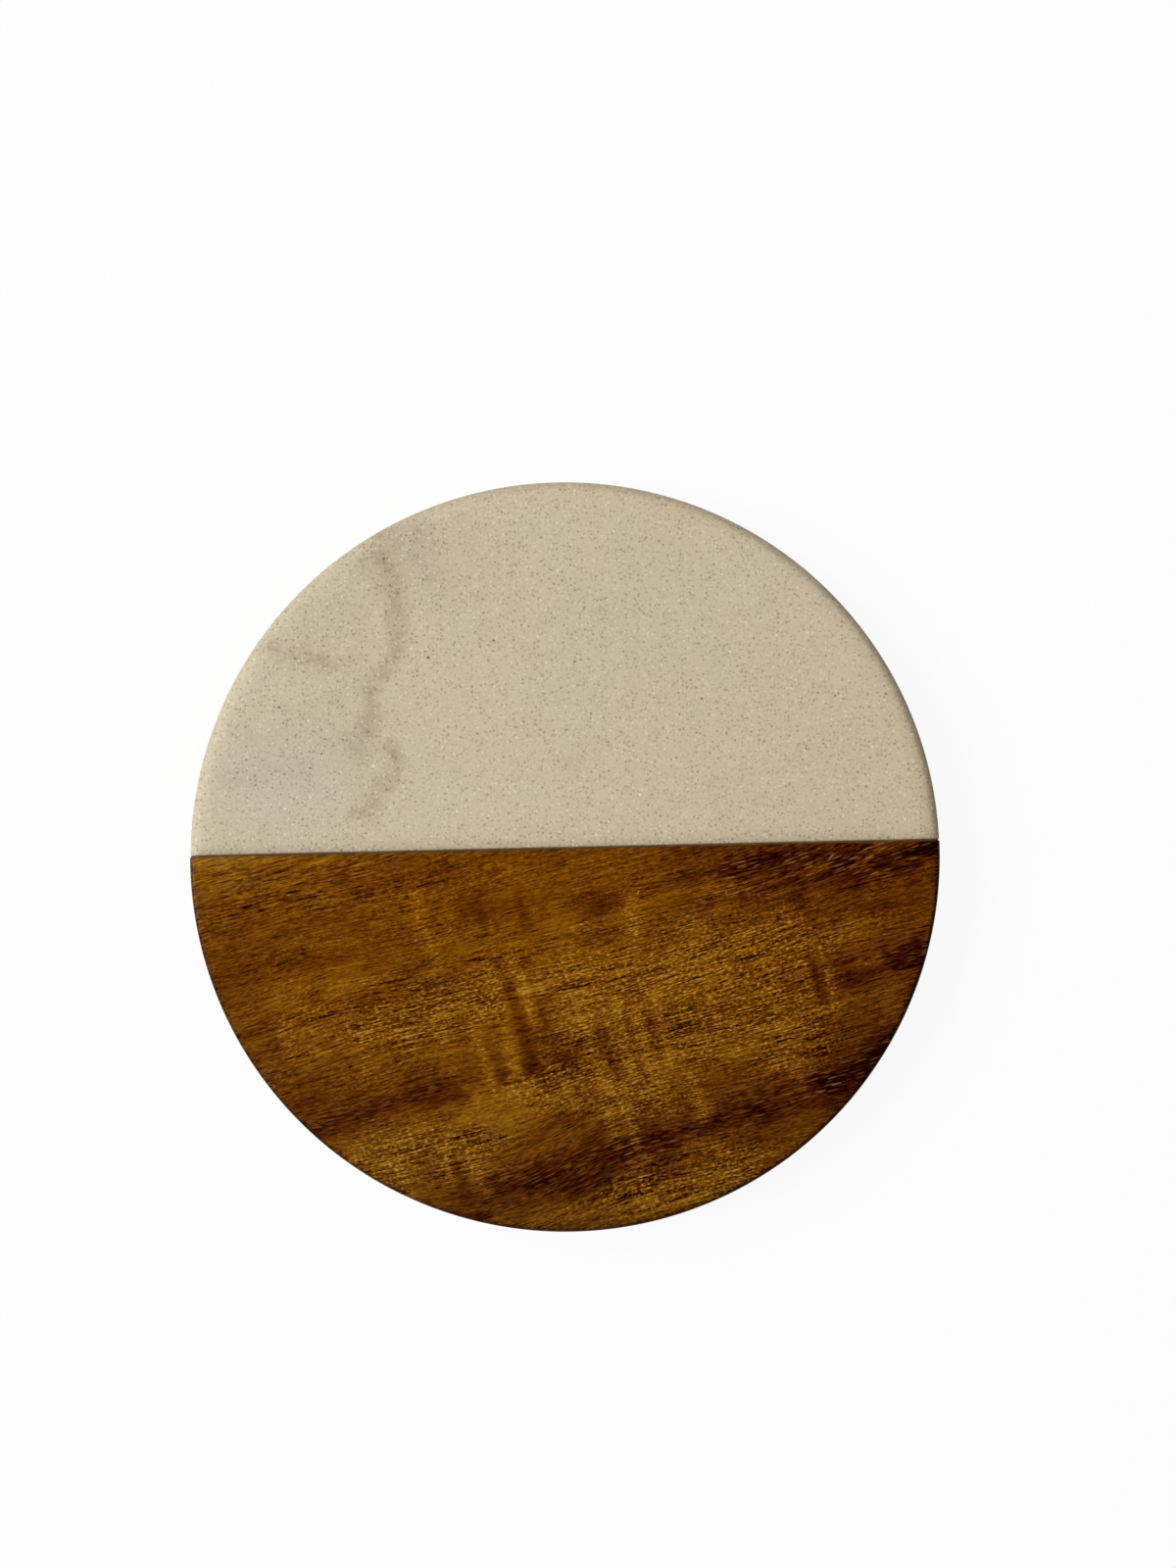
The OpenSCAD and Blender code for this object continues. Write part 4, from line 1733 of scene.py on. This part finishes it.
# Where the fibres curl to the surface in small strokes of painted sheen, and where they dive in long
# dashes, in the same terms with a strength for the tone
SILKY = (
    (-22, -21.5, -11, -18.5, 8, 0.7),
    (2, -17, 30, -11, 9, 0.8),
    (3, -27, 30, -19, 11, 0.75),
    (-6, -31, 12, -33, 5, 0.7),
    (-26, -40, -14, -38, 7, 0.7),
    (6, -46, 24, -42, 6, 0.65),
    (-38, -18, -26, -22, 6, 0.4),
    (34, -11, 44, -8, 6, 0.2),
    (28, -28, 34, -26, 5, 0.55),
)
DASHED = (
    (22, -3.5, 42, 0, 5, 0.85),
    (-10, -43.5, 12, -39.5, 6, 0.65),
    (18, -37, 34, -31, 5, 0.6),
    (42, -2.5, 51, -0.5, 4, 0.8),
    (-47, -4, -28, -0.5, 9, 0.8),
    (34, -31, 43, -26, 4, 0.6),
    (-36, -36, -18, -31, 4, 0.4),
    (12, -3, 22, -2, 5, 0.45),
    (38, -14, 48, -12, 5, 0.35),
    (44, -15, 48.5, -14, 2, 0.5),
    (-6, -17, 10, -15.4, 4, 0.4),
    (-40, -27.5, -24, -24.5, 8, 0.35),
)


@dataclass
class WoodHalf(HalfBoard):
    """The acacia half. The figure's tones are given in tables, and the grain runs through them.

    Attributes:
        lean: angle of the grain to the joint, in degrees.
        bend: how fast the grain turns along the joint, in 1 / mm.
        dive: how far the layers shift across the grain for each mm of depth.
        slant: how far the figure shifts along -x and y for each mm of depth.
        skin: depth down to which the small strokes show.
        sole: depth below which they show again, on the underside.
        dark_rim_start: depth at which the rim's darkening is full.
        dark_rim_end: depths between which it gives way to the paler side.
        dull_patch: middle and reach of a dull place.
    """

    lean: float = 14.0
    bend: float = 0.0005
    dive: float = 0.35
    slant: Pair = (1.2, 0.9)
    skin: float = 0.5
    sole: float = 9.0
    dark_rim_start: float = 0.1
    dark_rim_end: Pair = (0.5, 1.6)
    dull_patch: tuple[Pair, Pair] = ((-46, -1), (10, 4))

    def heading(self) -> Pair:
        """The direction of the grain, as its steps along x and along y."""
        return math.cos(math.radians(self.lean)), math.sin(math.radians(self.lean))

    def fields(self, x: np.ndarray, y: np.ndarray, z: np.ndarray) -> dict[str, np.ndarray]:
        """Works out the grain's coordinates, the tones and where strokes and dashes show.

        The figure's strokes are frayed along the grain by noise, and the light and dark bands of
        the curl, which are painted reflection, much less. The wood is a little paler along the
        joint. Small strokes of painted sheen show on the top face and underneath, and less in
        dark wood. Along the joint and all round the rim the wood is duller. Below the face the
        figure slants and runs on down the rim.

        Args:
            x: first coordinate of the vertices, in mm.
            y: second coordinate of the vertices, in mm.
            z: height of the vertices, in mm.

        Returns:
            Each field's values at the vertices.
        """
        depth = self.high - z
        out, inwards = y * self.side.value - self.joint, self.radius - np.hypot(x, y)
        rim = self.dark_rim(x, out, depth)
        grain = self.grain(x, y, depth)

        def wavy(length: float, width: float, seed: int) -> np.ndarray:
            """Soft noise with bumps of this length along the grain and width across it."""
            return soft_noise(grain[:, 0] / length, grain[:, 1] / width, seed)

        x, y = x - self.slant[0] * depth, y + self.slant[1] * depth
        fray = wavy(3, 0.5, 21) + 1.4 * wavy(9, 1.1, 22)
        rough = 0.15 * wavy(2.2, 0.8, 23) + 0.3 * wavy(6, 2, 24)
        run, rise = self.heading()
        frayed = x + fray * run - rough * rise, y + fray * rise + rough * run
        gentle = x + 0.12 * fray * run, y + 0.12 * fray * rise
        # Painted reflection: the curl's light and dark bands go into the tone
        curl = self.figure(*gentle, CURL_SHEEN_BANDS)
        tone = self.figure(*frayed, DARK_FIGURE + LIGHT_FIGURE) + curl
        tone += 0.12 * fading(out, 1.3) - 0.001 * x + 0.0006 * (y + 22)
        tone += 0.07 * wavy(18, 2.4, 25) + 0.06 * wavy(5, 0.9, 26)
        dark = np.clip(-tone, 0, 1)
        # Where the painted sheen of glints, strokes, flecks and sparkles shows, following the curl bands
        silk = 0.28 + self.figure(*frayed, SILKY) - 0.5 * dark
        silk += np.where(curl > 0, 1.0, 0.7) * curl + 0.25 * wavy(6, 2, 27)
        face = np.clip(1 - depth / self.skin, 0, 1) + (depth > self.sole)
        dash = self.figure(*frayed, DASHED) + 0.12 * wavy(7, 2, 28)
        edges = 0.8 * fading(out, 0.6) + 0.6 * fading(inwards, 0.8)
        return {
            "grain": grain,
            "rim": rim,
            "tone": tone,
            "silk": np.clip(silk, 0, 1) * face,
            "dash": np.clip(dash, 0, 1),
            "dull": np.clip(self.dullness(x, y, dark) + edges, 0, 1.6),
        }

    def dark_rim(self, x: np.ndarray, out: np.ndarray, depth: np.ndarray) -> np.ndarray:
        """How much darker the rim is drawn than the face.

        It is darkest along the round upper edge and towards the right, and less so on the
        side below. Near the joint it is no darker than the face.

        Args:
            x: first coordinate of the points, in mm.
            out: their distance from the joint, in mm.
            depth: their distance below the top face, in mm.

        Returns:
            The darkness at each point.
        """
        start, end = self.dark_rim_end
        darkened = np.clip(depth / self.dark_rim_start, 0, 1) * (1 - fading(out, 0.5))
        side = np.clip((depth - start) / (end - start), 0, 1)
        return darkened * (0.82 + x / 220) - 0.55 * side

    def dullness(self, x: np.ndarray, y: np.ndarray, dark: np.ndarray) -> np.ndarray:
        """How dull the wood is away from its edges.

        It is duller towards the lower rim, a little at the right and in one patch at the
        left, and less so where the figure is dark.

        Args:
            x: first coordinate of the points on the figure, in mm.
            y: second coordinate of the points on the figure, in mm.
            dark: how dark the figure is there, from 0 to 1.

        Returns:
            The dullness at each point.
        """
        patchy = 0.6 * bell(x, y, *self.dull_patch) + 0.15 * soft_noise(x / 5, y / 5, 29)
        return np.clip(-y / 52, 0, 1) + 0.1 * slope(x, 30, 4) - 0.6 * dark + patchy

    def grain(self, x: np.ndarray, y: np.ndarray, depth: np.ndarray) -> np.ndarray:
        """Coordinates along the grain, across it and down, in mm.

        The grain leans by a fixed angle and turns slowly along the joint, and once more
        round each place of GRAIN_TURNS, by turn (x - x0) exp(-(d / radius)^2). Soft noise
        bends it.

        Args:
            x: first coordinate of the points.
            y: second coordinate of the points.
            depth: distance of the points below the top face.

        Returns:
            One row of three for each point.
        """
        run, rise = self.heading()
        along = x * run + y * rise
        across = y * run - x * rise - self.bend * x**2 / 2
        for x0, y0, radius, turn in GRAIN_TURNS:
            across = across - turn * (x - x0) * bell(x, y, (x0, y0), (radius, radius))
        bend = 0.9 * soft_noise(along / 26, across / 10, 31) + 0.12 * soft_noise(along / 10, across / 3, 32)
        return np.column_stack([along, across + bend + self.dive * depth, depth])

    @staticmethod
    def figure(x: np.ndarray, y: np.ndarray, table: Iterable[tuple[float, ...]]) -> np.ndarray:
        """Adds up a table of soft strokes.

        A stroke's strength at the distance d from its line is tone * 0.5^((2d / width)^2.4),
        so that it falls to half at its edge.

        Args:
            x: first coordinate of the points.
            y: second coordinate of the points.
            table: ends, width and tone of each stroke.

        Returns:
            The sum at each point.
        """
        total = np.zeros_like(x)
        for x0, y0, x1, y1, width, tone in table:
            away, _ = reach_of(x, y, (x0, y0), (x1, y1))
            total += tone * 0.5 ** ((2 * away / width) ** 2.4)
        return total


# Feet


@dataclass
class RubberFoot:
    """A stick-on foot: a low drafted stud with a round edge that it stands on. Sizes in mm.

    Attributes:
        node: the CAD node that it stands for.
        draft: angle of its side from upright, in degrees.
        edge_r: radius of the edge that it stands on.
        dish: how far its sole is hollowed in the middle.
        turns: points round it.
        steps: rings of the sole, the edge, the side and the top.
        slot: the record's material slot; it is not used.
    """

    node: str
    draft: float = 12.0
    edge_r: float = 0.4
    dish: float = 0.06
    turns: int = 72
    steps: tuple[int, int, int, int] = (9, 8, 5, 7)
    slot: str = "foot_rubber"

    def profile(self, radius: float, height: float) -> np.ndarray:
        """Radius and height of each ring, from the middle of the sole to the middle of the top.

        The sole is hollowed by dish (1 - (r / R)^2)^2. The edge is an arc from straight down
        to the side's angle, and the side is straight.

        Args:
            radius: the foot's largest radius.
            height: its height.

        Returns:
            One row for each ring.
        """
        draft = math.radians(self.draft)
        middle = radius - (height - self.edge_r) * math.tan(draft) - self.edge_r / math.cos(draft)
        on_sole, on_edge, on_side, on_top = self.steps
        across = np.linspace(0, middle, on_sole + 1)
        sole = np.column_stack([across, self.dish * (1 - (across / middle) ** 2) ** 2])
        turn = np.linspace(-np.pi / 2, -draft, on_edge + 1)[1:]
        edge = np.column_stack([middle + self.edge_r * np.cos(turn), self.edge_r * (1 + np.sin(turn))])
        side = np.linspace(edge[-1], (radius, height), on_side + 1)[1:]
        top = np.linspace((radius, height), (0, height), on_top + 1)[1:]
        return np.concatenate([sole, edge, side, top])

    def build(self, material: bpy.types.Material) -> bpy.types.Object:
        """Carries the profile round the foot's axis and dresses the foot.

        Args:
            material: its finish.

        Returns:
            The new piece.
        """
        low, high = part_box(self.node)
        middle = (low + high) / 2 / MM
        rings = self.profile((high.x - low.x) / 2 / MM, (high.z - low.z) / MM)
        angle = np.linspace(0, 2 * np.pi, self.turns, endpoint=False)
        inner = rings[1:-1]
        body = np.stack(
            [
                middle.x + inner[:, :1] * np.cos(angle),
                middle.y + inner[:, :1] * np.sin(angle),
                np.repeat(low.z / MM + inner[:, 1:], self.turns, axis=1),
            ],
            -1,
        )
        work = Patchwork()
        index = work.more(body)
        ends = [[middle.x, middle.y, low.z / MM + rings[end, 1]] for end in (0, -1)]
        poles = work.more(np.array(ends))
        rows = [np.full(self.turns, poles[0]), *index, np.full(self.turns, poles[1])]
        around, down = np.linspace(0, 1, self.turns + 1), np.linspace(0, 1, len(rows))
        work.sheet(closed(np.array(rows)), around, down[:, None])
        piece = work.build(self.node + "_stud")
        seat(piece, self.node, material)
        return piece


# Studio


@dataclass
class Studio:
    """Pale floor, one soft key lamp from the left and an even fill.

    Attributes:
        key_way: direction to the key lamp: its turn from -X towards +Y and its height, in degrees.
        key_far: distance of the key lamp, in metres.
        key_size: edge length of the key lamp, in metres.
        floor_size: edge length of the floor, in metres.
        floor_grey: how much light the floor gives back.
        floor_white: how much of the floor's look is plain white; the rest takes the shadow.
        overhead: how bright the fill is overhead, as a share of its mean.
        ceiling: the heights between which the walls turn to ceiling, 0 level and 1 overhead.
        horizon: the heights between which the plain white background gives way.
    """

    key_way: Pair = (12.0, 50.0)
    key_far: float = 2.4
    key_size: float = 1.1
    floor_size: float = 6.0
    floor_grey: float = 0.8
    floor_white: float = 0.93
    overhead: float = 0.4
    ceiling: Pair = (0.6, 0.8)
    horizon: Pair = (0.25, 0.5)

    def build(self) -> None:
        """Makes the floor, the lamp and the world."""
        self.floor()
        self.key()
        self.world()

    @staticmethod
    def seen(tree: Tree) -> Socket:
        """Adds a value that is 1 for what the camera sees straight, in gloss or through glass.

        Args:
            tree: the material's or the world's node tree.

        Returns:
            1 for those rays, and 0 for the light on the object.
        """
        total: Socket | float = 0.0
        for kind in ("Camera", "Glossy", "Transmission"):
            ray = add(tree, "ShaderNodeLightPath", out=f"Is {kind} Ray")
            total = add(tree, "ShaderNodeMath", {0: ray, 1: total}, operation="MAXIMUM")
        return total

    def floor(self) -> None:
        """Makes the floor: matt and pale, nearly white to the camera, with a faint shadow."""
        half = self.floor_size / 2
        mesh = bpy.data.meshes.new("floor")
        corners = [(-half, -half, 0), (half, -half, 0), (half, half, 0), (-half, half, 0)]
        mesh.from_pydata(corners, [], [(0, 1, 2, 3)])
        floor = bpy.data.objects.new("floor", mesh)
        bpy.context.scene.collection.objects.link(floor)
        material = bpy.data.materials.new("floor_paper")
        material.use_nodes = True
        tree = material.node_tree
        tree.nodes.clear()
        matt = add(tree, "ShaderNodeBsdfDiffuse", {"Color": (self.floor_grey,) * 3 + (1,)})
        white = add(tree, "ShaderNodeEmission", {"Color": (1, 1, 1, 1), "Strength": 1.0})
        share = weighted(tree, 0.0, (self.seen(tree), self.floor_white))
        mixed = add(tree, "ShaderNodeMixShader", {0: share, 1: matt, 2: white})
        add(tree, "ShaderNodeOutputMaterial", {"Surface": mixed}, out=None)
        mesh.materials.append(material)

    def key(self) -> None:
        """Makes the key lamp.

        A square lamp of the power P at the distance d and the height angle h gives a level
        white surface the brightness P sin(h) / (pi d)^2, and the lamp's share of 1 sets P.
        """
        turn, rise = (math.radians(a) for a in self.key_way)
        level = math.cos(rise)
        way = Vector((-math.cos(turn) * level, math.sin(turn) * level, math.sin(rise)))
        lamp = bpy.data.lights.new("key", "AREA")
        lamp.size = self.key_size
        lamp.energy = Light.KEY.value * (math.pi * self.key_far) ** 2 / math.sin(rise)
        holder = bpy.data.objects.new("key", lamp)
        holder.location = way * self.key_far
        holder.rotation_euler = way.to_track_quat("Z", "Y").to_euler()
        bpy.context.scene.collection.objects.link(holder)

    def world(self) -> None:
        """Makes the fill: a room with pale walls and a dim ceiling.

        The walls give way to the ceiling at about 45 degrees, and a level face gets half of
        its light from above that and half from below. So the walls are as much brighter as
        the ceiling is dimmer, and the light on the face stays the same. The camera and gloss
        see the background near the horizon as plain white.
        """
        world = bpy.data.worlds.new("fill")
        world.use_nodes = True
        tree = world.node_tree
        tree.nodes.clear()
        way = add(tree, "ShaderNodeTexCoord", out="Generated")
        height = add(tree, "ShaderNodeSeparateXYZ", {"Vector": way}, out="Z")
        fill = Light.FILL.value
        room = add(
            tree,
            "ShaderNodeMapRange",
            {
                "Value": height,
                "From Min": self.ceiling[0],
                "From Max": self.ceiling[1],
                "To Min": fill * (2 - self.overhead),
                "To Max": fill * self.overhead,
            },
            interpolation_type="SMOOTHSTEP",
        )
        low, high = self.horizon
        near = add(tree, "ShaderNodeMapRange", {"Value": height, "From Min": high, "From Max": low})
        share = weighted(tree, 0.0, (self.seen(tree), near))
        walls = add(tree, "ShaderNodeBackground", {"Color": (1, 1, 1, 1), "Strength": room})
        white = add(tree, "ShaderNodeBackground", {"Color": (1, 1, 1, 1), "Strength": 1.0})
        mixed = add(tree, "ShaderNodeMixShader", {0: share, 1: walls, 2: white})
        add(tree, "ShaderNodeOutputWorld", {"Surface": mixed}, out=None)
        bpy.context.scene.world = world


@dataclass
class PhotoCamera:
    """Looks straight down on the disc, from where the photograph was taken.

    Attributes:
        disc_px: middle of the disc in the picture.
        radius_px: radius of the disc in the picture.
        picture_px: size of the picture.
        turn: how far the joint rises to the right in the picture, in degrees.
        distance: from the lens to the widest level of the disc, in metres.
        sensor_mm: width of the sensor.
    """

    disc_px: Pair = (576.54, 874.28)
    radius_px: float = 382.09
    picture_px: tuple[int, int] = (1200, 1600)
    turn: float = 1.3
    distance: float = 0.45
    sensor_mm: float = 36.0

    def build(self, radius: float, level: float) -> None:
        """Makes the camera so that the disc has its place and size in the picture.

        Args:
            radius: the disc's radius, in metres.
            level: height of the disc's widest level, in metres.
        """
        metres_per_px = radius / self.radius_px
        right = (self.picture_px[0] / 2 - self.disc_px[0]) * metres_per_px
        up = (self.disc_px[1] - self.picture_px[1] / 2) * metres_per_px
        turn = math.radians(self.turn)
        lens = bpy.data.cameras.new("photo_camera")
        lens.sensor_fit = "HORIZONTAL"
        lens.sensor_width = self.sensor_mm
        lens.lens = self.sensor_mm * self.distance / (self.picture_px[0] * metres_per_px)
        camera = bpy.data.objects.new("photo_camera", lens)
        camera.location = (
            right * math.cos(turn) + up * math.sin(turn),
            up * math.cos(turn) - right * math.sin(turn),
            level + self.distance,
        )
        camera.rotation_euler = (0, 0, -turn)
        bpy.context.scene.collection.objects.link(camera)
        bpy.context.scene.camera = camera


def main() -> None:
    """Builds the coaster's pieces in order, then the studio."""
    bpy.context.scene.view_settings.view_transform = "Standard"
    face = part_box("stone_half")[1].z / MM
    stone = StoneHalf(
        node="stone_half",
        slot="stone",
        side=Side.STONE,
        finish=HonedStone("honed_quartz_stone", level=face),
        top_r=1.2,
        under_r=0.5,
        lead_depth=0.14,
        lead_width=2.4,
        roll_depth=0.03,
        roll_width=0.6,
        columns=320,
        rows=150,
    )
    wood = WoodHalf(
        node="wood_half",
        slot="hardwood",
        side=Side.WOOD,
        finish=OiledAcacia("oiled_acacia", level=face),
        top_r=0.6,
        under_r=0.5,
        lead_depth=0.03,
        lead_width=1.6,
        roll_depth=0.015,
        roll_width=0.3,
        columns=360,
        rows=190,
    )
    stone.build()
    wood.build()
    rubber = MouldedRubber("moulded_rubber").material()
    beech = BareBeech("bare_beech").material()
    tape = AcrylicFoamTape("acrylic_foam_tape").material()
    for board in ("stone", "wood"):
        for hand in ("left", "right"):
            RubberFoot(f"foot_{board}_{hand}").build(rubber)
            coat(f"tape_{board}_{hand}", tape)
    for hand in ("left", "right"):
        coat(f"dowel_{hand}", beech)
    coat("glue_line", CastResin("cast_resin").material())
    Studio().build()
    PhotoCamera().build(stone.radius * MM, (stone.high - stone.top_r) * MM)


if __name__ == "__main__":
    logging.basicConfig(level=logging.INFO)
    main()
